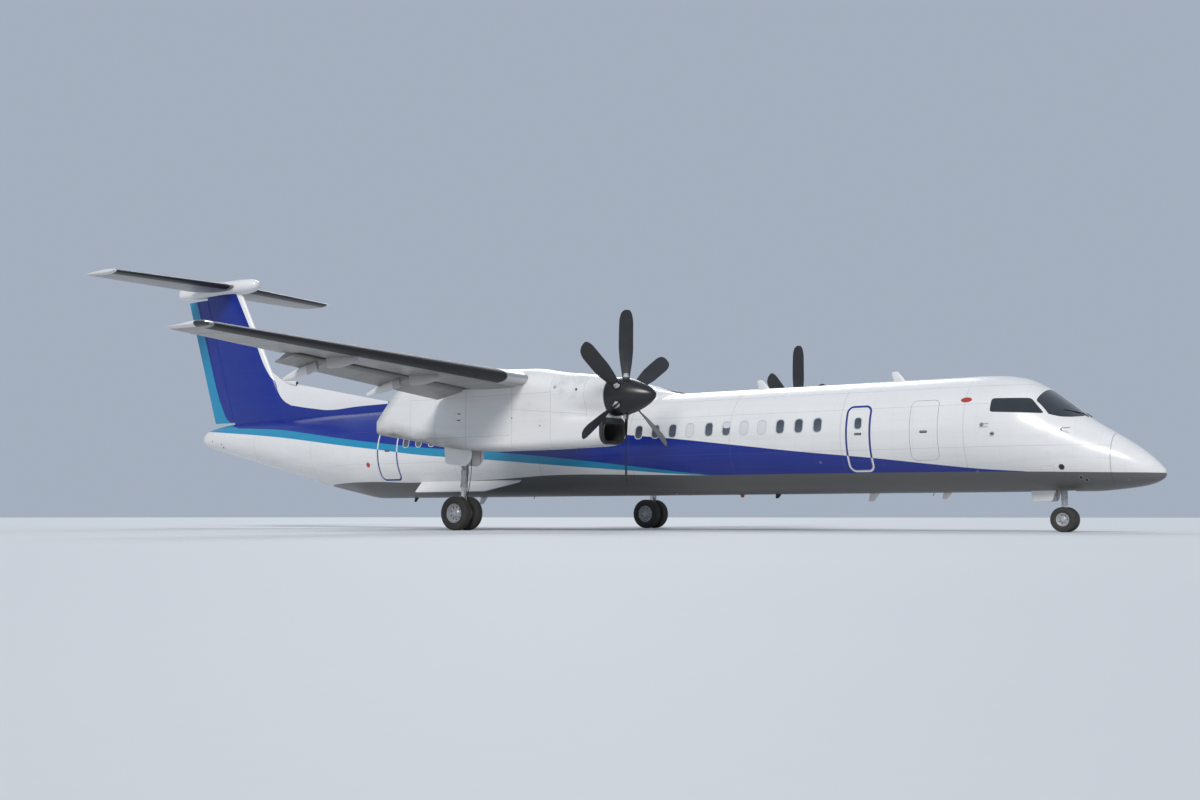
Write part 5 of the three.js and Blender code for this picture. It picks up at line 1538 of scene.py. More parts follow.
class AIRLINER_OT_nacelles(bpy.types.Operator):
    """Nacelles with intake, wheel bay and oblique outlet, and the exhaust pipes"""

    bl_idname = "airliner.nacelles"
    bl_label = "Nacelles"

    def execute(self, context):
        for side, sign in SIDES:
            y = sign * NACELLE_Y
            outlet = at(OUTLET["station"], y, OUTLET["height"])
            mesh = self.hull(side, sign, outlet)
            skin = carve(mesh, self.hollows(y, outlet).mesh("nacelle_tool"))
            dress(skin, f"nacelle_{side}_skin", "airframe",
                  ["nacelle_paint", "duct_dark", "bay_primer", "sooty_steel"], [f"nacelle_{side}"])
            self.intake_lip(side, y)
            exhaust = Shell()
            exhaust.lathe(EXHAUST_PIPE, outlet, OUTLET_SLOPE, 0, 64)
            exhaust.lathe(EXHAUST_CORE, outlet, OUTLET_SLOPE, 0, 32)
            exhaust.make(f"exhaust_{side}_pipe", "airframe", "exhaust", ["sooty_steel"], [f"exhaust_{side}"])
            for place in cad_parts[f"engine_{side}"].material_slots:
                place.material = material("sooty_steel")
        return {"FINISHED"}

    @staticmethod
    def hull(side, sign, outlet):
        """Closed nacelle with a rounded front, cut off along the slope of the outlet."""
        fore, aft = NACELLE_ENDS
        rings = [nacelle_ring(sign, fore, FRONT_ROUND)]
        for t in np.linspace(0.15, 1, 6) * math.pi / 2:
            back, inward = 0.045 * (1 - math.cos(t)), FRONT_ROUND * (1 - math.sin(t))
            rings.append(nacelle_ring(sign, fore + back, inward))
        rings += [nacelle_ring(sign, s) for s in spaced([fore + 0.06, 13.0, aft], 0.09)]
        mesh = Shell().loft(rings).mesh(f"nacelle_{side}")
        cut = bmesh.new()
        cut.from_mesh(mesh)
        parts = list(cut.verts) + list(cut.edges) + list(cut.faces)
        result = bmesh.ops.bisect_plane(
            cut, geom=parts, plane_co=outlet, plane_no=OUTLET_SLOPE, clear_outer=True)
        rim = [e for e in result["geom_cut"] if isinstance(e, bmesh.types.BMEdge)]
        bmesh.ops.edgeloop_fill(cut, edges=rim)
        bmesh.ops.recalc_face_normals(cut, faces=cut.faces)
        cut.to_mesh(mesh)
        cut.free()
        return mesh

    @staticmethod
    def hollows(y, outlet):
        """What is cut out of a nacelle: the intake duct, the wheel bay and the hole for the exhaust."""
        tool = Shell()
        fore, aft, low, high, half, shrink = INTAKE.values()
        # The duct's walls take finish 1: near-black, painted shade inside the intake.
        tool.loft([oblong(lerp(fore, aft, t), y, low, high - shrink * t, half - shrink * t)
                   for t in np.linspace(0, 1, 9)], 1)
        bay = WHEEL_BAY
        tool.block(at(bay["aft"], y - bay["half"], -0.9), at(bay["fore"], y + bay["half"], bay["top"]), 2)
        pipe = [outlet + OUTLET_SLOPE * t for t in (-OUTLET["depth"], 0.3)]
        return tool.tube(pipe, OUTLET["outer"] + 0.003, 3, 48)

    @staticmethod
    def intake_lip(side, y):
        """Rubber boot round the mouth of the intake."""
        fore = NACELLE_ENDS[0]
        _, _, low, high, half, _ = INTAKE.values()
        ring = oblong(fore + 0.012, y, low - 0.028, high + 0.024, half + 0.026, 0.17)
        inside = oblong(fore + 0.004, y, low + 0.002, high - 0.002, half - 0.002)
        deep = oblong(fore + 0.12, y, low + 0.002, high - 0.012, half - 0.016)
        shift = np.array([0.022, 0, 0])
        lip = Shell().loft([
            ring - shift * 2, ring + shift * 0.3, lerp(ring, inside, 0.45) + shift, inside + shift * 0.2,
            deep, deep + (ring - inside) * 0.4 - shift], wrap=True)
        lip.make(f"intake_lip_{side}", "airframe", "spinner", ["boot_rubber"])


# Propellers

SPINNER = Curve([  # station, radius
    (10.24, 0.001), (10.26, 0.055), (10.33, 0.130), (10.48, 0.230), (10.70, 0.335), (10.90, 0.405),
    (11.12, 0.448), (11.39, 0.462)], warp=lambda s: np.sqrt(np.maximum(s - 10.24, 0)))
BLADES = 6
BLADE = Curve([  # radius, chord, thickness, pitch, lean aft of the blade's axis
    (0.10, 0.15, 0.15, 55, 0), (0.33, 0.150, 0.130, 55, 0), (0.52, 0.200, 0.095, 52, 0),
    (0.80, 0.290, 0.058, 44, 0), (1.20, 0.370, 0.036, 34, 0), (1.75, 0.380, 0.022, 27, 0.008),
    (1.98, 0.290, 0.015, 24, 0.020), (2.055, 0.130, 0.009, 23, 0.040)])
BLADE_TIP = 2.055
# Radii between which a boot covers the leading edge, and the points of the section on each side of it
BOOT = (0.36, 1.15)
BOOT_POINTS = 6
# Distance along the blade from the hub's middle, radius
BLADE_SLEEVE = [(0.12, 0.0001), (0.12, 0.092), (0.40, 0.092), (0.43, 0.086), (0.45, 0.072), (0.54, 0.060),
                (0.54, 0.0001)]
SLEEVE_COLLAR = [(0.425, 0.088), (0.425, 0.099), (0.44, 0.099), (0.44, 0.088)]
# Distance aft of the propeller's middle, radius
HUB = [(-0.15, 0.0001), (-0.15, 0.20), (-0.10, 0.26), (0.17, 0.26), (0.17, 0.12), (0.3657, 0.12),
       (0.3657, 0.0001)]
SPINNER_BACK = [(0.3103, 0.10), (0.3103, 0.457), (0.332, 0.457), (0.332, 0.10)]
SPINNER_ENDS = (10.24, 11.39)
SPINNER_WALL = 0.014
SPINNER_HOLE = 0.104


def blade_ring(radius):
    """Airfoil section of a blade; the first point is the trailing edge, the middle one the leading edge."""
    chord, thick, pitch, lean = BLADE(radius)
    a = np.linspace(0, 2 * np.pi, 33)[:-1]
    along = np.cos(a) * 0.5
    x = 0.5 - along
    form = 5.2 * (0.2969 * np.sqrt(x) - 0.126 * x - 0.3516 * x ** 2 + 0.2843 * x ** 3 - 0.1015 * x ** 4)
    oval = 0.5 * np.sin(a)
    round_share = np.clip((0.42 - radius) / 0.2, 0, 1)
    upper = np.sign(np.sin(a)) * form * np.where(np.sin(a) > 0, 0.58, 0.42)
    v = lerp(upper * 0.95, oval, round_share) * thick
    u = along * chord + lean
    t = math.radians(pitch)
    return np.column_stack([u * math.sin(t) + v * math.cos(t), u * math.cos(t) - v * math.sin(t),
                            np.full(len(a), radius)])


class AIRLINER_OT_propellers(bpy.types.Operator):
    """Six-blade propellers with heated boots, and the spinners"""

    bl_idname = "airliner.propellers"
    bl_label = "Propellers"

    def execute(self, context):
        blade = self.blade()
        back = (-1.0, 0, 0)
        for side, sign in SIDES:
            middle = Vector(at(PROP_STATION, sign * NACELLE_Y, THRUST_HEIGHT))
            shell = Shell()
            holes = Shell()
            for i in range(BLADES):
                turn = Matrix.Rotation(2 * math.pi * i / BLADES, 4, "X")
                way = np.array(turn @ Vector((0, 0, 1)))
                shell.merge(blade, Matrix.Translation(middle) @ turn)
                shell.lathe(BLADE_SLEEVE, middle, way, 2, 32)
                shell.lathe(SLEEVE_COLLAR, middle, way, 3, 32)
                # The holes' walls take finish 1: near-black, painted shade inside them.
                holes.tube([np.array(middle) + way * r for r in (0.20, 0.70)], SPINNER_HOLE, 1, 32)
            shell.lathe(HUB, middle, back, 2, 48)
            shell.lathe(SPINNER_BACK, middle, back, 3, 64)
            body = f"propeller_{side}"
            shell.make(f"{body}_blades", body, "blade",
                       ["blade_composite", "boot_rubber", "gear_grey", "spinner_paint"], [body])
            cone = Shell().lathe(self.spinner_profile(), middle, back, 0, 72)
            mesh = carve(cone.mesh("cone"), holes.mesh("holes"))
            dress(mesh, f"spinner_{side}_cone", body,
                  ["spinner_paint", "duct_dark"], [f"spinner_{side}"], 40)
        return {"FINISHED"}

    @staticmethod
    def blade():
        """One blade that stands up from the origin."""
        radii = spaced([0.12, 0.33, 0.52, 1.98, BLADE_TIP], 0.05)
        rings = [blade_ring(r) for r in radii]
        front = len(rings[0]) // 2
        tints = np.zeros((len(rings) - 1, len(rings[0])), int)
        booted = (radii[1:] > BOOT[0]) & (radii[1:] < BOOT[1])
        tints[booted, front - BOOT_POINTS:front + BOOT_POINTS] = 1
        return Shell().loft(rings, tints)

    @staticmethod
    def spinner_profile():
        """Outside of the cone from its tip to its rim, then its inside back to the tip."""
        tip, rim = SPINNER_ENDS
        stations = np.concatenate([np.linspace(0, 1, 26) ** 1.8 * 1.14 + tip, [rim - 0.002, rim]])
        outer = [(s - PROP_STATION, max(0.0002, float(SPINNER(s)[0]))) for s in stations]
        outer[-1] = (outer[-1][0], outer[-1][1] - 0.003)
        inner = [(s - PROP_STATION + SPINNER_WALL, max(0.0001, float(SPINNER(s)[0]) - SPINNER_WALL))
                 for s in stations[4:-2:3]]
        return outer + [(rim - PROP_STATION, 0.448)] + inner[::-1]


# Tail

FIN = Foil([(0.9, 27.08, 3.75, 0, 0.11, 0, 0), (5.8, 29.85, 2.71, 0, 0.11, 0, 0)], upright=True)
FORE_RUDDER, REAR_RUDDER = 1.05, 0.53
RUDDER = (1.235, 5.51)
DORSAL = Curve([  # station, ridge height, half width at the crown
    (20.8, 1.352, 0.02), (23.06, 1.665, 0.068), (24.42, 1.915, 0.095), (27.0, 2.39, 0.128),
    (27.5, 2.48, 0.138), (28.2, 2.86, 0.130)])
DORSAL_FOOT = 1.18
BULLET_FRONT = 28.94
BULLET = Curve([  # station, half width, half height
    (28.94, 0.004, 0.004), (28.97, 0.105, 0.100), (29.08, 0.180, 0.172), (29.3, 0.235, 0.222),
    (29.9, 0.280, 0.251), (31.2, 0.280, 0.252), (32.1, 0.235, 0.236), (32.6, 0.190, 0.205),
    (32.83, 0.160, 0.180)], warp=lambda s: np.sqrt(np.maximum(s - BULLET_FRONT, 0)))
BULLET_HEIGHT = 5.838
TAIL_SPAN = 4.635
TAILPLANE = Foil([
    (0, 29.82, 2.18, BULLET_HEIGHT, 0.12, 0, 0), (TAIL_SPAN, 30.41, 1.55, BULLET_HEIGHT, 0.11, 0, 0)])
ELEVATOR_DEPTH = 0.62
ELEVATOR = (0.33, 4.42)
TAIL_ROUND = 0.10
RUDDER_POINTS = 31


class AIRLINER_OT_tail(bpy.types.Operator):
    """Fin with its dorsal fairing, two-piece rudder, tailplane, elevators and the bullet between them"""

    bl_idname = "airliner.tail"
    bl_label = "Tail"

    def execute(self, context):
        self.fin()
        self.rudder("fore_rudder", "blue_paint", FORE_RUDDER, REAR_RUDDER)
        self.rudder("trailing_rudder", "cyan_paint", REAR_RUDDER)
        self.tailplane()
        self.bullet()
        return {"FINISHED"}

    @staticmethod
    def fin():
        """Fixed part of the fin, and the dorsal fairing ahead of it."""
        shell = Shell().loft([FIN.place(span, *socket_ring(FIN, span, FORE_RUDDER))
                              for span in np.linspace(0.9, 5.8, 22)], socket_tints(1))
        rings = []
        rise = np.linspace(-1, 1, 31)
        up = 1 - np.abs(rise)
        for station in spaced([20.8, 23.14, 27.5, 28.2], 0.14):
            ridge, wide = DORSAL(station)
            y = -np.sign(rise) * wide * (1 - up ** 1.5) ** 0.85
            rings.append(at(station, y, DORSAL_FOOT + (ridge - DORSAL_FOOT) * up ** 0.9))
        shell.loft(rings)
        shell.make("fin_skin", "airframe", "blue_paint", ["body_paint", "cove_grey"], ["fin"], 50)

    def rudder(self, name, slot, depth, rear=0.0):
        """A rudder that is hinged at a depth, hollow at the back where another one is hinged to it."""
        rings = []
        for span in np.linspace(*RUDDER, 20):
            s, y = FIN.moving(span, depth, 14)
            if rear:
                hollow = FIN.socket(span, rear)
                wall = hollow[0][0]
                keep = s <= wall
                upper, lower = (FIN.skin(span, FIN.share(span, wall), k) for k in (1, -1))
                s = np.concatenate([[upper[0]], s[keep], [lower[0]]])
                y = np.concatenate([[upper[1]], y[keep], [lower[1]]])
                s, y = self.even(s, y, RUDDER_POINTS)
                s, y = np.concatenate([s, hollow[0]]), np.concatenate([y, hollow[1]])
            rings.append(FIN.place(span, s, y))
        tints = socket_tints(1, RUDDER_POINTS - 1) if rear else 0
        shell = Shell().loft(rings, tints, cap_tint=0)
        shell.make(f"{name}_skin", name, slot, ["body_paint", "cove_grey"], [name])

    @staticmethod
    def tailplane():
        foil = TAILPLANE
        end = ELEVATOR[1] + TIP_GAP
        fixed = Shell()
        for _, sign in SIDES:
            fixed.loft([foil.place(span, *socket_ring(foil, span, ELEVATOR_DEPTH), sign)
                        for span in np.linspace(0, end, 14)], socket_tints(1))
            tip = tip_rows(end - OVERLAP, TAIL_SPAN - TAIL_ROUND, TAIL_ROUND, 86, 8)
            fixed.loft([foil.place(span, *plain_ring(foil, span, 1.0, squeeze), sign)
                        for span, squeeze in tip])
        fixed.make("tailplane_skin", "airframe", "grey_paint", ["tail_grey", "cove_grey"], ["tailplane"])
        for side, sign in SIDES:
            shell = Shell().loft([foil.place(span, *foil.moving(span, ELEVATOR_DEPTH, 12), sign)
                                  for span in np.linspace(*ELEVATOR, 12)])
            wicks(shell, foil, (2.7, 3.4, 4.1), sign, 1)
            shell.make(f"elevator_{side}_skin", f"elevator_{side}", "grey_paint",
                       ["tail_grey", "hose_black"], [f"elevator_{side}"])

    @staticmethod
    def bullet():
        """Fairing where fin and tailplane meet; its section turns boxy towards the rear."""
        a = turns(48)
        rings = []
        fore = BULLET_FRONT + np.linspace(0, 1, 14) ** 2 * 0.6
        for station in np.concatenate([fore, spaced([29.7, 32.83], 0.12)]):
            wide, tall = BULLET(station)
            power = lerp(1.0, 0.86, np.clip((station - 31.4) / 1.2, 0, 1))
            y = wide * np.sign(np.cos(a)) * np.abs(np.cos(a)) ** power
            h = tall * np.sign(np.sin(a)) * np.abs(np.sin(a)) ** power
            rings.append(at(station, y, BULLET_HEIGHT + h))
        Shell().loft(rings).make(
            "tail_bullet_skin", "airframe", "white_paint", ["white_gloss"], ["tail_bullet"])

    @staticmethod
    def even(s, y, count):
        """The same outline with a set number of points along it."""
        way = np.concatenate([[0], np.cumsum(np.hypot(np.diff(s), np.diff(y)))])
        place = np.linspace(0, way[-1], count)
        return np.interp(place, way, s), np.interp(place, way, y)


# Landing gear and doors

MAIN_TYRE = {"radius": 0.43, "width": 0.27, "rim": 0.245, "spacing": 0.215, "station": 16.14, "grooves": 4}
NOSE_TYRE = {"radius": 0.28, "width": 0.165, "rim": 0.15, "spacing": 0.135, "station": 2.20, "grooves": 3}
GROOVE_DEPTH, GROOVE_HALF = 0.007, 0.005
MAIN_AXLE = 0.048
NOSE_AXLE = 0.030
WALL_GAP = 0.0003
# Side of a tyre: share of the height from rim to tread, height above that place, share of the half width
TYRE_SIDE = [(0, 0.0005, 0.70), (0, 0.012, 0.80), (0.30, 0, 0.97), (0.5, 0, 1.0), (0.70, 0, 0.985),
             (0.86, 0, 0.90), (1, -0.008, 0.74), (1, -0.002, 0.62)]
# Wheel from its back to its face: share of the half width, then share of the rim's radius and metres added
RIM_BACK = [(-0.62, 1, -0.03), (-0.62, 1, 0), (0.66, 1, 0), (0.70, 1, -0.004), (0.70, 1, -0.012),
            (0.60, 1, -0.022), (0.22, 0.80, 0), (0.12, 0.66, 0), (0.16, 0.52, 0), (0.42, 0.38, 0),
            (0.46, 0.34, 0), (0.58, 0.33, 0), (0.60, 0.31, 0), (0.60, 0, 0.0002)]
# Turned parts of the legs: distance along the axis, radius
MAIN_SLEEVE = [(0, 0.049), (0, 0.080), (0.006, 0.086), (0.138, 0.086), (0.1438, 0.080), (0.1438, 0.049)]
NOSE_SLEEVE = [(0, 0.031), (0, 0.054), (0.005, 0.058), (0.083, 0.058), (0.088, 0.054), (0.088, 0.031)]
NOSE_CASE = [(0, 0.0462), (0, 0.068), (0.008, 0.072), (0.03, 0.072), (0.035, 0.066), (0.10, 0.066),
             (0.105, 0.072), (0.732, 0.072), (0.74, 0.066), (0.74, 0.0002), (0.28, 0.0002), (0.28, 0.0462)]
LAMP_BODY = [(-0.05, 0.0002), (-0.05, 0.03), (-0.01, 0.062), (0.022, 0.064), (0.022, 0.056), (0.0, 0.054),
             (0.0, 0.0002)]
LAMP_LENS = [(0.004, 0.0002), (0.004, 0.053), (0.012, 0.050), (0.017, 0.0002)]
WHEEL_FINISHES = ["wheel_paint", "duct_dark", "bare_steel"]
LEG_FINISHES = ["gear_grey", "chrome", "hose_black", "bare_steel", "lamp_glass"]


def ground(station, y, z):
    return np.array([NOSE_X - station, y, z])


def tyre_shell(size, y):
    """Tyre with round shoulders and grooves round its tread."""
    radius, half, rim = size["radius"], size["width"] / 2, size["rim"]
    side = [(share * half, lerp(rim, radius, height) + more) for height, more, share in TYRE_SIDE]
    profile = [(-along, r) for along, r in side]
    count, deep, wide = size["grooves"], GROOVE_DEPTH, GROOVE_HALF
    for i in range(count):
        centre = half * 1.16 * ((i + 0.5) / count - 0.5) * 0.84
        profile += [(centre - wide, radius), (centre - wide * 0.7, radius - deep),
                    (centre + wide * 0.7, radius - deep), (centre + wide, radius)]
    profile += side[::-1]
    profile += [(half * 0.55, rim + 0.0005), (-half * 0.55, rim + 0.0005)]
    origin = ground(size["station"], y, radius)
    a = turns(96)
    circle = np.column_stack([np.cos(a), 0 * a, np.sin(a)])
    return Shell().loft([origin + (0, along, 0) + r * circle for along, r in profile], wrap=True)


def wheel_shell(shell, size, y, out, axle, holes):
    """Rim with a dished face, a ring of holes, bolts and a hub cap; out is the way its face looks."""
    half, rim = size["width"] / 2, size["rim"]
    axis = np.array([0, float(out), 0])
    origin = ground(size["station"], y, size["radius"])
    profile = [(-0.60 * half, 0.0002), (-0.62 * half, axle)]
    profile += [(along * half, share * rim + more) for along, share, more in RIM_BACK]
    shell.lathe(profile, origin, axis, 0, 64)
    for a in turns(holes):
        way = np.array([math.cos(a), 0, math.sin(a)])
        place = origin + way * rim * 0.66 + axis * half * 0.10
        # Each hole is a short near-black plug on the face: painted shade, not an opening.
        shell.tube([place, place + axis * half * 0.06], rim * 0.085, 1, 20)
        bolt = origin + way * rim * 0.45 + axis * half * 0.28
        shell.tube([bolt, bolt + axis * half * 0.14], 0.009, 2, 6)


def wheel_pair(name, body, size, y, axle, reach, holes):
    """Two wheels on one axle that reaches a distance to each side of their middle."""
    shell = Shell()
    for out in (-1, 1):
        wheel_shell(shell, size, y + out * size["spacing"], out, axle, holes)
    shell.tube([ground(size["station"], y + k * reach, size["radius"]) for k in (-1, 1)], axle, 2, 32)
    shell.make(f"{name}_rims", body, "wheel_hub", WHEEL_FINISHES, [name])


class AIRLINER_OT_wheels(bpy.types.Operator):
    """Tyres and wheels of the main and nose gear"""

    bl_idname = "airliner.wheels"
    bl_label = "Wheels and tyres"

    def execute(self, context):
        for side, sign in SIDES:
            y, body = sign * NACELLE_Y, f"main_wheels_{side}"
            for place, across in (("inner", -sign), ("outer", sign)):
                self.tyre(f"main_tyre_{side}_{place}", body, MAIN_TYRE, y + across * MAIN_TYRE["spacing"])
            wheel_pair(body, body, MAIN_TYRE, y, MAIN_AXLE, 0.17, 9)
            self.tyre(f"nose_tyre_{side}", "nose_wheels", NOSE_TYRE, sign * NOSE_TYRE["spacing"])
        wheel_pair("nose_wheels", "nose_wheels", NOSE_TYRE, 0, NOSE_AXLE, 0.10, 7)
        return {"FINISHED"}

    @staticmethod
    def tyre(name, body, size, y):
        tyre_shell(size, y).make(f"{name}_rubber", body, "tyre", ["tyre_rubber"], [name])


class AIRLINER_OT_doors(bpy.types.Operator):
    """Cabin doors that follow the fuselage, with handles, and the airstair's steps"""

    bl_idname = "airliner.doors"
    bl_label = "Cabin doors"

    # Gap round a door, and the airstair's extra gap above
    GAP, TOP_GAP = 0.007, 0.010
    EXIT_WINDOW = {"size": (0.21, 0.30), "corner": 0.08}
    FINISHES = ["body_paint", "seal", "duct_dark", "bare_steel", "cabin_glass", "window_rim"]

    def execute(self, context):
        for name, (fore, aft, low, high, side, _) in CABIN_DOORS.items():
            shell = Shell()
            moving = name == "airstair_door"
            top = high - self.GAP - (self.TOP_GAP if moving else 0)
            outline = rounded(fore + self.GAP, aft - self.GAP, low + self.GAP, top, DOOR_CORNER - self.GAP)
            skin_patch(shell, outline, side, 0.0, -0.020, 0, steps=9, edge_tint=1)
            if moving:
                self.steps(shell, fore, aft, low, top, side)
            middle = (fore + aft) / 2
            grip = rounded(middle - 0.09, middle + 0.09, 0.0, 0.055, 0.02, 3)
            # The grip is a near-black plate: painted shade of the handle's recess.
            skin_patch(shell, grip, side, 0.002, -0.004, 2, steps=2)
            bar = rounded(middle - 0.07, middle + 0.07, 0.018, 0.037, 0.008, 3)
            skin_patch(shell, bar, side, 0.006, 0.001, 3, steps=2)
            if name == "forward_exit_door":
                glass = pane(middle, inset=0.012, **self.EXIT_WINDOW)
                skin_patch(shell, glass, side, 0.0012, -0.004, 4, steps=2)
                skin_ring(shell, pane(middle, **self.EXIT_WINDOW), side, 0.0035, -0.004, 0.020, 5)
            body = "airstair" if moving else "airframe"
            shell.make(f"{name}_skin", body, "white_paint", self.FINISHES, [name], 40)
        return {"FINISHED"}

    @staticmethod
    def steps(shell, fore, aft, low, high, side):
        """Frame and treads on the inside of the airstair door."""
        mirror = (1, side, 1)
        for s in (fore + 0.06, aft - 0.06):
            heights = np.linspace(low + 0.08, high - 0.12, 14)
            path = hull_at(np.full(14, s), hull_angle(np.full(14, s), heights), -0.048)
            shell.tube(path * mirror, 0.026, 3, 10)
        for h in np.linspace(low + 0.22, high - 0.26, 5):
            s = np.array([fore + 0.09, aft - 0.09])
            angle = hull_angle(s, np.full(2, h))
            for lift, grow, tint in ((0.0, -0.028, 3), (0.03, -0.04, 1), (0.06, -0.052, 3)):
                shell.tube(hull_at(s, angle + lift / BARREL_RADIUS, grow) * mirror, 0.020, tint, 10)


class AIRLINER_OT_gear(bpy.types.Operator):
    """Legs, braces, links and hoses of the landing gear, and the gear doors"""

    bl_idname = "airliner.gear"
    bl_label = "Landing gear"

    def execute(self, context):
        for side, sign in SIDES:
            self.main_leg(side, sign)
            self.main_doors(side, sign)
        self.nose_leg()
        self.nose_fork()
        self.nose_doors()
        return {"FINISHED"}

    def main_leg(self, side, sign):
        def point(station, across, z):
            return ground(station, sign * NACELLE_Y + across, z)

        def cross(station, z, half):
            return [point(station, -half, z), point(station, half, z)]

        def on_leg(share):
            return lerp(foot, head, share)

        foot, head = point(16.132, 0, 0.49), point(15.96, 0, 2.38)
        elbow, knee, brace_z = on_leg(0.52), point(15.99, 0, 0.70), CENTRE_Z + WHEEL_BAY["top"] - 0.25
        anchor = point(16.49, 0, brace_z)
        wall = WHEEL_BAY["half"] - WALL_GAP
        shell = Shell()
        shell.tubes([
            ([foot, on_leg(0.33)], 0.062, 1, 32),
            ([on_leg(0.315), on_leg(0.33), on_leg(0.345)], [0.096, 0.099, 0.092], 0, 32),
            ([on_leg(0.33), on_leg(0.5), head], [0.088, 0.092, 0.092], 0, 32),
            (cross(15.96, 2.38, wall), 0.060, 0, 24),
            ([elbow - (0, 0, 0.05), elbow + (0, 0, 0.05)], 0.106, 0, 24),
            ([elbow, point(15.96, -0.19, 2.38)], 0.038, 0, 20),
            ([elbow, point(15.96, 0.19, 2.38)], 0.038, 0, 20),
            ([elbow, lerp(elbow, anchor, 0.5)], 0.046, 0, 24),
            ([lerp(elbow, anchor, 0.48), anchor], 0.034, 1, 24),
            (cross(16.49, brace_z, wall), 0.045, 0, 24),
        ])
        for end in (foot + (0, 0, 0.06), on_leg(0.34)):
            for k in (-1, 1):
                shell.tube([end + (0, k * 0.045, 0), knee + (0, k * 0.012, 0)], [0.020, 0.016], 0, 10)
        shell.tube(cross(15.99, 0.70, 0.035), 0.022, 1, 16)
        shell.lathe(MAIN_SLEEVE, point(16.14, -0.0719, 0.43), (0, 1, 0), 0, 40)
        shell.block(point(16.195, -0.055, 0.31), point(16.085, 0.055, 0.37), 0, 0.01)
        t = np.linspace(0, 1, 22)
        for k, bend in ((-1, 0.03), (1, -0.02)):
            hose = lerp(point(16.05, k * 0.062, 0.56), on_leg(0.78) + (0.10, k * 0.05, 0), t[:, None])
            hose[:, 0] += 0.06 * np.sin(t * np.pi) + bend * np.sin(t * 2 * np.pi)
            shell.tube(hose, 0.0085, 2, 8)
        for share in (0.40, 0.47, 0.62, 0.74):
            clip = on_leg(share)
            shell.tube([clip - (0, 0, 0.012), clip + (0, 0, 0.012)], 0.0965, 3, 24)
        shell.make(f"main_leg_{side}_strut", "airframe", "gear_metal", LEG_FINISHES[:4], [f"main_leg_{side}"])

    def main_doors(self, side, sign):
        fore, aft, half, _ = WHEEL_BAY.values()
        outline = softened([(fore + 0.02, 0.06), (aft - 0.02, 0.06), (aft - 0.06, -0.56),
                            (fore + 0.20, -0.64), (fore + 0.02, -0.47)], 0.10)
        for place, across in (("inner", -sign), ("outer", sign)):
            out, inner = (sign * NACELLE_Y + across * (half - k) for k in (0.0004, 0.0200))
            self.leaf(f"main_gear_door_{side}_{place}", outline, out, inner, -0.22)

    def nose_doors(self):
        fore, aft, half, _ = NOSE_BAY.values()
        outline = softened([(fore + 0.42, -1.29), (aft - 0.015, -1.29), (aft - 0.05, -1.56),
                            (fore + 0.50, -1.56)], 0.06)
        for side, sign in SIDES:
            out, inner = (sign * (half - k) for k in (0.0004, 0.0165))
            self.leaf(f"nose_gear_door_{side}", outline, out, inner, -1.42)

    @staticmethod
    def leaf(name, outline, out, inner, middle):
        """A gear door: a thin leaf with a softened edge and ribs inside."""
        centre = outline.mean(axis=0)
        soft = centre + (outline - centre) * 0.985
        way = np.sign(out - inner)
        edge, root, rib, rail = 0.004 * way, 0.002 * way, 0.012 * way, 0.010 * way
        levels = [(soft, out), (outline, out - edge), (outline, inner + edge), (soft, inner)]
        shell = Shell().loft([at(p[:, 0], y, p[:, 1]) for p, y in levels])
        fore, aft = outline[:, 0].min() + 0.10, outline[:, 0].max() - 0.10
        low, high = outline[:, 1].min() + 0.08, outline[:, 1].max() - 0.03
        for s in np.linspace(fore, aft, 3):
            shell.block(at(s + 0.012, inner + root, low), at(s - 0.012, inner - rib, high), 1, 0.003)
        shell.block(at(aft, inner + root, middle - 0.012), at(fore, inner - rail, middle + 0.012), 1, 0.003)
        shell.make(f"{name}_leaf", "airframe", "white_paint", ["white_gloss", "gear_grey"], [name], 40)

    @staticmethod
    def point(forward, across, z):
        """Point near the nose gear, measured forward of its leg."""
        return ground(NOSE_TYRE["station"] - forward, across, z)

    def nose_leg(self):
        point = self.point
        wall = NOSE_BAY["half"] - WALL_GAP
        shell = Shell().lathe(NOSE_CASE, point(0, 0, 0.60), (0, 0, 1), 0, 40)
        shell.tubes([
            ([point(0, -wall, 1.29), point(0, wall, 1.29)], 0.045, 0, 24),
            ([point(0, 0, 0.905), point(-0.3, 0, 1.115)], 0.034, 0, 20),
            ([point(-0.29, 0, 1.108), point(-0.6, 0, 1.325)], 0.026, 1, 20),
            ([point(-0.6, -wall, 1.33), point(-0.6, wall, 1.33)], 0.034, 0, 20),
            ([point(0.02, -0.055, 0.82), point(0.02, -0.085, 0.82)], 0.032, 3, 16),
            ([point(0.02, 0.055, 0.82), point(0.02, 0.085, 0.82)], 0.032, 3, 16),
        ])
        t = np.linspace(0, 1, 18)
        hose = lerp(point(-0.06, 0.04, 0.66), point(-0.05, 0.05, 1.28), t[:, None])
        hose[:, 0] -= 0.035 * np.sin(t * np.pi)
        shell.tube(hose, 0.007, 2, 8)
        for profile, tint in ((LAMP_BODY, 3), (LAMP_LENS, 4)):
            shell.lathe(profile, point(0.085, 0, 1.05), (1, 0, 0), tint, 32)
        shell.make("nose_leg_strut", "airframe", "gear_metal", LEG_FINISHES, ["nose_leg"])

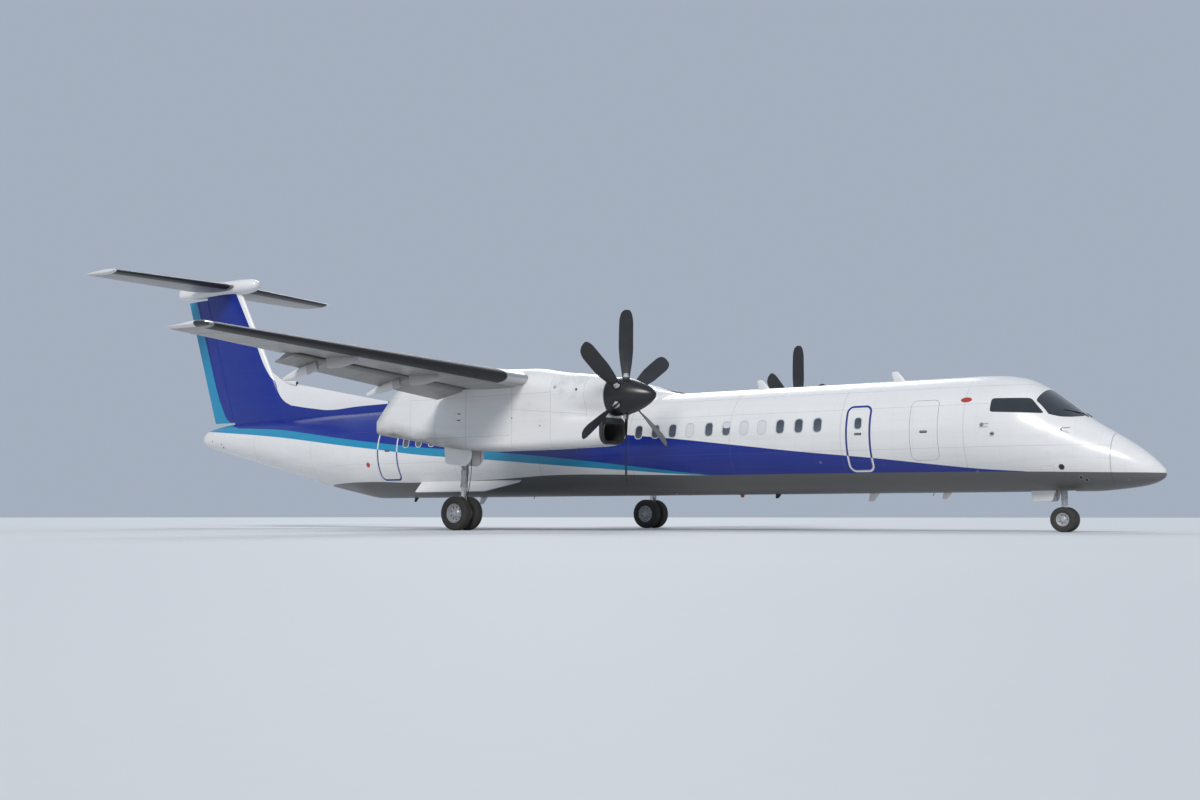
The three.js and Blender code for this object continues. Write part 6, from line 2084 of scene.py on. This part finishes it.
    def nose_fork(self):
        point = self.point
        fork = Shell().tube([point(0, 0, 0.31), point(0, 0, 0.86)], 0.045, 1, 32)
        fork.lathe(NOSE_SLEEVE, point(0, -0.044, 0.28), (0, 1, 0), 0, 40)
        fork.block(point(0.094, -0.029, 0.312), point(-0.040, 0.029, 0.322), 0, 0.004)
        fork.block(point(0.110, -0.042, 0.262), point(0.062, 0.042, 0.332), 0, 0.008)
        for k in (-1, 1):
            knee = point(-0.13, k * 0.012, 0.45)
            fork.tube([point(-0.035, k * 0.025, 0.34), knee], [0.014, 0.011], 0, 10)
            fork.tube([knee, point(-0.045, k * 0.02, 0.575)], [0.011, 0.012], 0, 10)
        fork.tube([point(-0.13, -0.03, 0.45), point(-0.13, 0.03, 0.45)], 0.014, 1, 14)
        fork.make("nose_fork_strut", "nose_steering", "gear_metal", LEG_FINISHES[:2], ["nose_steering_fork"])


class AIRLINER_OT_strakes(bpy.types.Operator):
    """Long strakes under the rear fuselage"""

    bl_idname = "airliner.strakes"
    bl_label = "Ventral strakes"

    LEAN = math.radians(-42)
    FORE, AFT, DEPTH, THICK = 16.9, 20.6, 0.45, 0.026

    def execute(self, context):
        foot, tip = BARREL_RADIUS, BARREL_RADIUS + self.DEPTH
        outline = softened([(self.FORE, foot - 0.045), (self.AFT, foot - 0.045), (self.AFT - 0.04, tip),
                            (self.FORE + 1.05, tip - self.DEPTH * 0.02), (self.FORE, foot + 0.06)], 0.05)
        middle = outline.mean(axis=0)
        for side, sign in SIDES:
            rings = []
            for t, shrink in ((-0.5, 0.992), (-0.25, 1.0), (0.25, 1.0), (0.5, 0.992)):
                station, out = (middle + (outline - middle) * shrink).T
                y = out * math.cos(self.LEAN) - t * self.THICK * math.sin(self.LEAN)
                h = out * math.sin(self.LEAN) + t * self.THICK * math.cos(self.LEAN)
                rings.append(at(station, sign * y, h))
            Shell().loft(rings).make(f"ventral_strake_{side}_blade", "airframe", "white_paint",
                                     ["white_gloss"], [f"ventral_strake_{side}"])
        return {"FINISHED"}


# Small fittings

def disc(station, height, radius):
    """Round outline, as stations and heights."""
    a = turns(24)
    return np.column_stack([station + radius * np.cos(a), height + radius * np.sin(a)])


def nacelle_half(station, height):
    """Half width of a nacelle at a height of its side."""
    side = nacelle_ring(1, station)[:NACELLE_STEPS]
    return np.interp(height, side[::-1, 2] - CENTRE_Z, side[::-1, 1] - NACELLE_Y)


class AIRLINER_OT_fittings(bpy.types.Operator):
    """Probes, aerials, ports, vents, wipers, lights and drains"""

    bl_idname = "airliner.fittings"
    bl_label = "Small fittings"

    # Round ports on both sides of the fuselage: station, height, radius
    PORTS = [(1.97, -0.82, 0.058), (1.62, -1.05, 0.034), (1.52, -1.105, 0.034), (0.68, -1.115, 0.016),
             (7.63, -0.614, 0.022), (3.82, -0.898, 0.022), (30.10, 0.50, 0.020), (30.02, 0.40, 0.026),
             (30.62, 0.62, 0.020)]
    # Probes: station, height, reach, length of the tube
    PROBES = [(1.95, 0.0, 0.075, 0.17), (3.59, 0.143, 0.075, 0.17), (3.35, -0.067, 0.045, 0.0)]
    # Aerials: station, 1 on the crown or -1 on the belly, chord, reach, tint
    AERIALS = [(5.9, 1, 0.30, 0.24, 2), (9.6, 1, 0.30, 0.24, 2), (20.2, 1, 0.26, 0.18, 2),
               (4.79, -1, 0.22, 0.15, 2), (6.61, -1, 0.26, 0.20, 2), (9.3, -1, 0.16, 0.10, 1),
               (18.9, -1, 0.26, 0.20, 2), (21.6, -1, 0.16, 0.12, 1)]
    # Share of the reach, share of the chord
    AERIAL_FORM = ((-0.06, 1.0), (0, 1.0), (0.5, 0.80), (0.85, 0.62), (0.97, 0.45), (1.0, 0.25))
    # Plates on the nacelles' sides: station, height, length, height, corner, tint
    # Plates of tint 1 are near-black: painted shade of vents and ports.
    PLATES = [(12.17, 1.11, 0.055, 0.055, 0.006, 1), (12.79, 1.20, 0.085, 0.075, 0.012, 3),
              (13.23, 0.28, 0.040, 0.028, 0.010, 1), (14.10, 0.50, 0.040, 0.028, 0.010, 1),
              (15.80, 0.67, 0.11, 0.024, 0.010, 1), (15.82, 0.51, 0.11, 0.024, 0.010, 1)]
    # Air scoop on the dorsal fairing's ridge: fore and aft end, half width
    SCOOP = (27.00, 27.55, 0.055)
    # Drain pipes under the belly: station, distance to port
    DRAINS = [(5.26, 0.0), (12.2, 0.35), (12.2, -0.35), (17.2, 0.0)]
    # Red beacon under the belly: its base and its lens, as distance below the skin and radius
    BEACON_STATION = 10.45
    BEACON_BASE = [(0, 0.0002), (0, 0.085), (0.012, 0.088), (0.018, 0.060), (0.0185, 0.0002)]
    BEACON_LENS = [(0.018, 0.0002), (0.018, 0.055), (0.05, 0.050), (0.075, 0.032), (0.085, 0.0002)]

    def execute(self, context):
        shell = Shell()
        for _, side in SIDES:
            for station, height, radius in self.PORTS:
                # Each port's face is near-black, painted shade inside the port, within a grey ring.
                skin_patch(shell, disc(station, height, radius), side, 0.002, -0.004, 1, steps=1)
                skin_ring(shell, disc(station, height, radius + 0.006), side, 0.003, -0.004, 0.006, 3)
            for probe in self.PROBES:
                self.probe(shell, side, *probe)
            self.wiper(shell, side)
        for aerial in self.AERIALS:
            self.aerial(shell, *aerial)
        for station, y in self.DRAINS:
            low = float(HULL(station)[2]) + (0.06 if y else 0)
            foot = at(station, y, low + 0.02)
            shell.tube([foot, foot + (-0.03, 0, -0.09)], [0.012, 0.010], 0, 12)
        for _, sign in SIDES:
            for face in (-1, 1):
                for plate in self.PLATES:
                    self.plate(shell, sign, face, *plate)
        self.scoop(shell)
        beacon = at(self.BEACON_STATION, 0, float(HULL(self.BEACON_STATION)[2]) + 0.01)
        for profile, tint in ((self.BEACON_BASE, 0), (self.BEACON_LENS, 4)):
            shell.lathe(profile, beacon, (0, 0, -1), tint, 32)
        shell.make("airframe_fittings", "airframe", "gear_metal",
                   ["bare_steel", "duct_dark", "white_gloss", "gear_grey", "red_lens"], sharp=40)
        return {"FINISHED"}

    @staticmethod
    def probe(shell, side, station, height, reach, tube):
        """Swept strut on a small foot, with a tube that points forward."""
        foot = hull_at(station, float(hull_angle(station, height)))
        out = hull_normal(foot[None])[0]
        mirror = np.array([1, side, 1])
        head = foot + out * reach + (0.02, 0, 0)
        skin_patch(shell, disc(station, height, 0.045), side, 0.004, -0.004, 0, steps=1)
        shell.tube([(foot - out * 0.01 - (0.03, 0, 0)) * mirror, head * mirror], [0.016, 0.010], 0, 12)
        if tube:
            path = [(head + (x, 0, 0)) * mirror for x in (-0.03, tube * 0.8, tube)]
            shell.tube(path, [0.011, 0.010, 0.005], 0, 12)
        else:
            shell.tube([(head + (x, 0, 0)) * mirror for x in (0.03, -0.06)], [0.005, 0.012], 1, 8)

    @staticmethod
    def wiper(shell, side):
        """Arm and blade parked low on the windscreen."""
        mirror = np.array([1, side, 1])

        def on_glass(rows, grow):
            return [hull_at(s, float(hull_angle_across(s, y)), grow) * mirror for s, y in rows]

        arm = on_glass([(1.58, 0.12), (1.70, 0.24), (1.79, 0.36)], 0.018)
        blade = on_glass([(1.68, 0.10), (1.74, 0.26), (1.84, 0.42), (1.98, 0.58)], 0.006)
        shell.tubes([(arm, [0.011, 0.009, 0.006], 1, 8), (blade, 0.007, 1, 8)])

    def aerial(self, shell, station, up, chord, reach, tint):
        """Swept blade aerial with a rounded tip."""
        foot = float(HULL(station)[1 if up > 0 else 2])
        a = turns(20)
        rings = []
        for t, size in self.AERIAL_FORM:
            front = station + reach * 0.6 * t + chord * (1 - 0.75 * size) * 0.5
            s = front + size * chord * (0.5 - 0.5 * np.cos(a))
            y = 0.065 * chord * size * np.sin(a) * (1 - 0.35 * np.cos(a + np.pi))
            rings.append(at(s, y, foot + up * reach * t))
        shell.loft(rings, tint)

    @staticmethod
    def plate(shell, sign, face, station, height, wide, tall, corner, tint):
        """Thin plate on the side of a nacelle."""
        fore, aft, low, high = station - wide / 2, station + wide / 2, height - tall / 2, height + tall / 2
        s, h = rounded(fore, aft, low, high, corner, 3).T
        half = np.array([nacelle_half(*place) for place in zip(s, h)])
        shell.loft([at(s, sign * NACELLE_Y + face * (half + out), h) for out in (0.0022, -0.004)], tint)

    def scoop(self, shell):
        """Small air scoop on the ridge of the dorsal fairing, its mouth painted dark as shade."""
        fore, aft, half = self.SCOOP
        a = turns(24)
        rings = []
        for t in np.linspace(0, 1, 9):
            station = lerp(fore, aft, t)
            ridge = float(DORSAL(station)[0])
            size = 1 - t * t * 0.7
            rings.append(at(station, half * size * np.cos(a), ridge + 0.01 + 0.085 * size * np.sin(a)))
        shell.loft(rings, 2, cap_tint=1)


# Floor, light and camera

@recipe
def studio_floor(f):
    f.set("Roughness", 0.75)
    cloud = f.noise(0.06, 4, 0.5)
    grain = f.noise(9.0, 3, 0.6)
    f.set("Base Color", f.mix((0.60, 0.61, 0.62), (0.68, 0.685, 0.69), cloud * 0.8 + grain * 0.2))
    return f


# Width of the lamps as seen from the floor, in degrees
SOFTNESS = 22
FLOOR_REACH = 400.0


class AIRLINER_OT_stage(bpy.types.Operator):
    """Pale floor, soft studio light and the camera at floor level off the nose to starboard"""

    bl_idname = "airliner.stage"
    bl_label = "Floor, light and camera"

    def execute(self, context):
        view = context.scene.airliner_view
        corners = [(x * FLOOR_REACH, y * FLOOR_REACH, 0) for x, y in ((-1, -1), (1, -1), (1, 1), (-1, 1))]
        mesh = Shell().add(corners, [range(4)]).mesh("studio_floor")
        mesh.materials.append(material("studio_floor"))
        plane = bpy.data.objects.new("studio_floor", mesh)
        context.scene.collection.objects.link(plane)

        world = bpy.data.worlds.new("studio")
        context.scene.world = world
        world.use_nodes = True
        sky = world.node_tree.nodes["Background"]
        sky.inputs["Color"].default_value = (*view.sky_colour, 1.0)
        sky.inputs["Strength"].default_value = view.sky_strength

        self.lamp(context, "key", (14, -26, 22), view.key_strength, (1.0, 0.975, 0.94))
        self.lamp(context, "back", (-20, 26, 20), view.key_strength * 0.35, (0.96, 0.98, 1.0))

        middle = Vector((view.aim_x, view.aim_y, view.aim_z))
        away = Vector((math.sin(view.azimuth), -math.cos(view.azimuth), 0.0)) * view.distance
        data = bpy.data.cameras.new("camera")
        camera = bpy.data.objects.new("camera", data)
        context.scene.collection.objects.link(camera)
        camera.location = Vector((middle.x, middle.y, 0.0)) + away + Vector((0, 0, view.eye_height))
        camera.rotation_euler = (middle - camera.location).to_track_quat("-Z", "Y").to_euler()
        data.lens = view.lens
        data.sensor_width = 36.0
        data.clip_start = 0.1
        data.clip_end = 1000.0
        context.scene.camera = camera
        context.scene.view_settings.view_transform = "Standard"
        return {"FINISHED"}

    @staticmethod
    def lamp(context, name, place, strength, colour):
        """Broad soft light that shines from a place towards the middle of the floor."""
        data = bpy.data.lights.new(name, "SUN")
        data.angle = math.radians(SOFTNESS)
        data.energy = strength
        data.color = colour
        lamp = bpy.data.objects.new(name, data)
        context.scene.collection.objects.link(lamp)
        lamp.location = place
        lamp.rotation_euler = (-lamp.location).to_track_quat("-Z", "Y").to_euler()


# Settings, panel and start

def colour_setting(name, description, default):
    return bpy.props.FloatVectorProperty(
        name=name, description=description, default=default, subtype="COLOR", size=3, min=0, max=1)


def length_setting(name, description, default, **limits):
    return bpy.props.FloatProperty(
        name=name, description=description, default=default, unit="LENGTH", **limits)


def number_setting(name, description, default, least=0.0):
    return bpy.props.FloatProperty(name=name, description=description, default=default, min=least)


class AirlinerPaint(bpy.types.PropertyGroup):
    white: colour_setting("White", "Main paint of the fuselage and nacelles", (0.75, 0.75, 0.745))
    blue: colour_setting("Blue", "Broad stripe and fin", (0.003, 0.020, 0.235))
    cyan: colour_setting("Cyan", "Narrow stripe and rudder", (0.008, 0.250, 0.440))
    grey: colour_setting("Belly grey", "Belly of the fuselage", (0.104, 0.107, 0.104))
    wing: colour_setting("Wing grey", "Wing and tailplane", (0.226, 0.225, 0.215))


class AirlinerView(bpy.types.PropertyGroup):
    azimuth: bpy.props.FloatProperty(
        name="Azimuth", description="Direction of the camera, from the starboard side towards the nose",
        default=math.radians(35.2), subtype="ANGLE")
    distance: length_setting("Distance", "From the point looked at to the camera", 40.0, min=5)
    eye_height: length_setting("Eye height", "Height of the camera above the floor", 0.35, min=0.05)
    lens: number_setting("Lens", "Focal length of the camera in millimetres", 43.0, 10)
    aim_x: length_setting("Aim forward", "Point looked at, forward of the middle", 1.2)
    aim_y: length_setting("Aim to port", "Point looked at, to port of the middle", 0.4)
    aim_z: length_setting("Aim height", "Height of the point looked at", 3.6)
    key_strength: number_setting("Key light", "Strength of the main light", 2.1)
    sky_strength: number_setting("Sky", "Strength of the light from all round", 0.9)
    sky_colour: colour_setting("Sky colour", "Background and its light", (0.415, 0.475, 0.575))


OPERATORS = (
    AIRLINER_OT_stage, AIRLINER_OT_fuselage, AIRLINER_OT_windows, AIRLINER_OT_doors, AIRLINER_OT_wing,
    AIRLINER_OT_flaps, AIRLINER_OT_nacelles, AIRLINER_OT_propellers, AIRLINER_OT_tail,
    AIRLINER_OT_strakes, AIRLINER_OT_gear, AIRLINER_OT_wheels, AIRLINER_OT_fittings,
)


class AIRLINER_PT_panel(bpy.types.Panel):
    """Lists the steps that build the airliner, and its settings"""

    bl_idname = "AIRLINER_PT_panel"
    bl_label = "Airliner"
    bl_space_type = "VIEW_3D"
    bl_region_type = "UI"
    bl_category = "Airliner"

    def draw(self, context):
        for operator in OPERATORS:
            self.layout.operator(operator.bl_idname)
        for group in (context.scene.airliner_paint, context.scene.airliner_view):
            box = self.layout.box()
            for key in group.__annotations__:
                box.prop(group, key)


SETTINGS = {"airliner_paint": AirlinerPaint, "airliner_view": AirlinerView}
CLASSES = (*SETTINGS.values(), *OPERATORS, AIRLINER_PT_panel)


def register():
    for cls in CLASSES:
        bpy.utils.register_class(cls)
    for name, group in SETTINGS.items():
        setattr(bpy.types.Scene, name, bpy.props.PointerProperty(type=group))


def unregister():
    for name in SETTINGS:
        delattr(bpy.types.Scene, name)
    for cls in reversed(CLASSES):
        bpy.utils.unregister_class(cls)


def main():
    register()
    for operator in OPERATORS:
        group, action = operator.bl_idname.split(".")
        getattr(getattr(bpy.ops, group), action)()


if __name__ == "__main__":
    main()
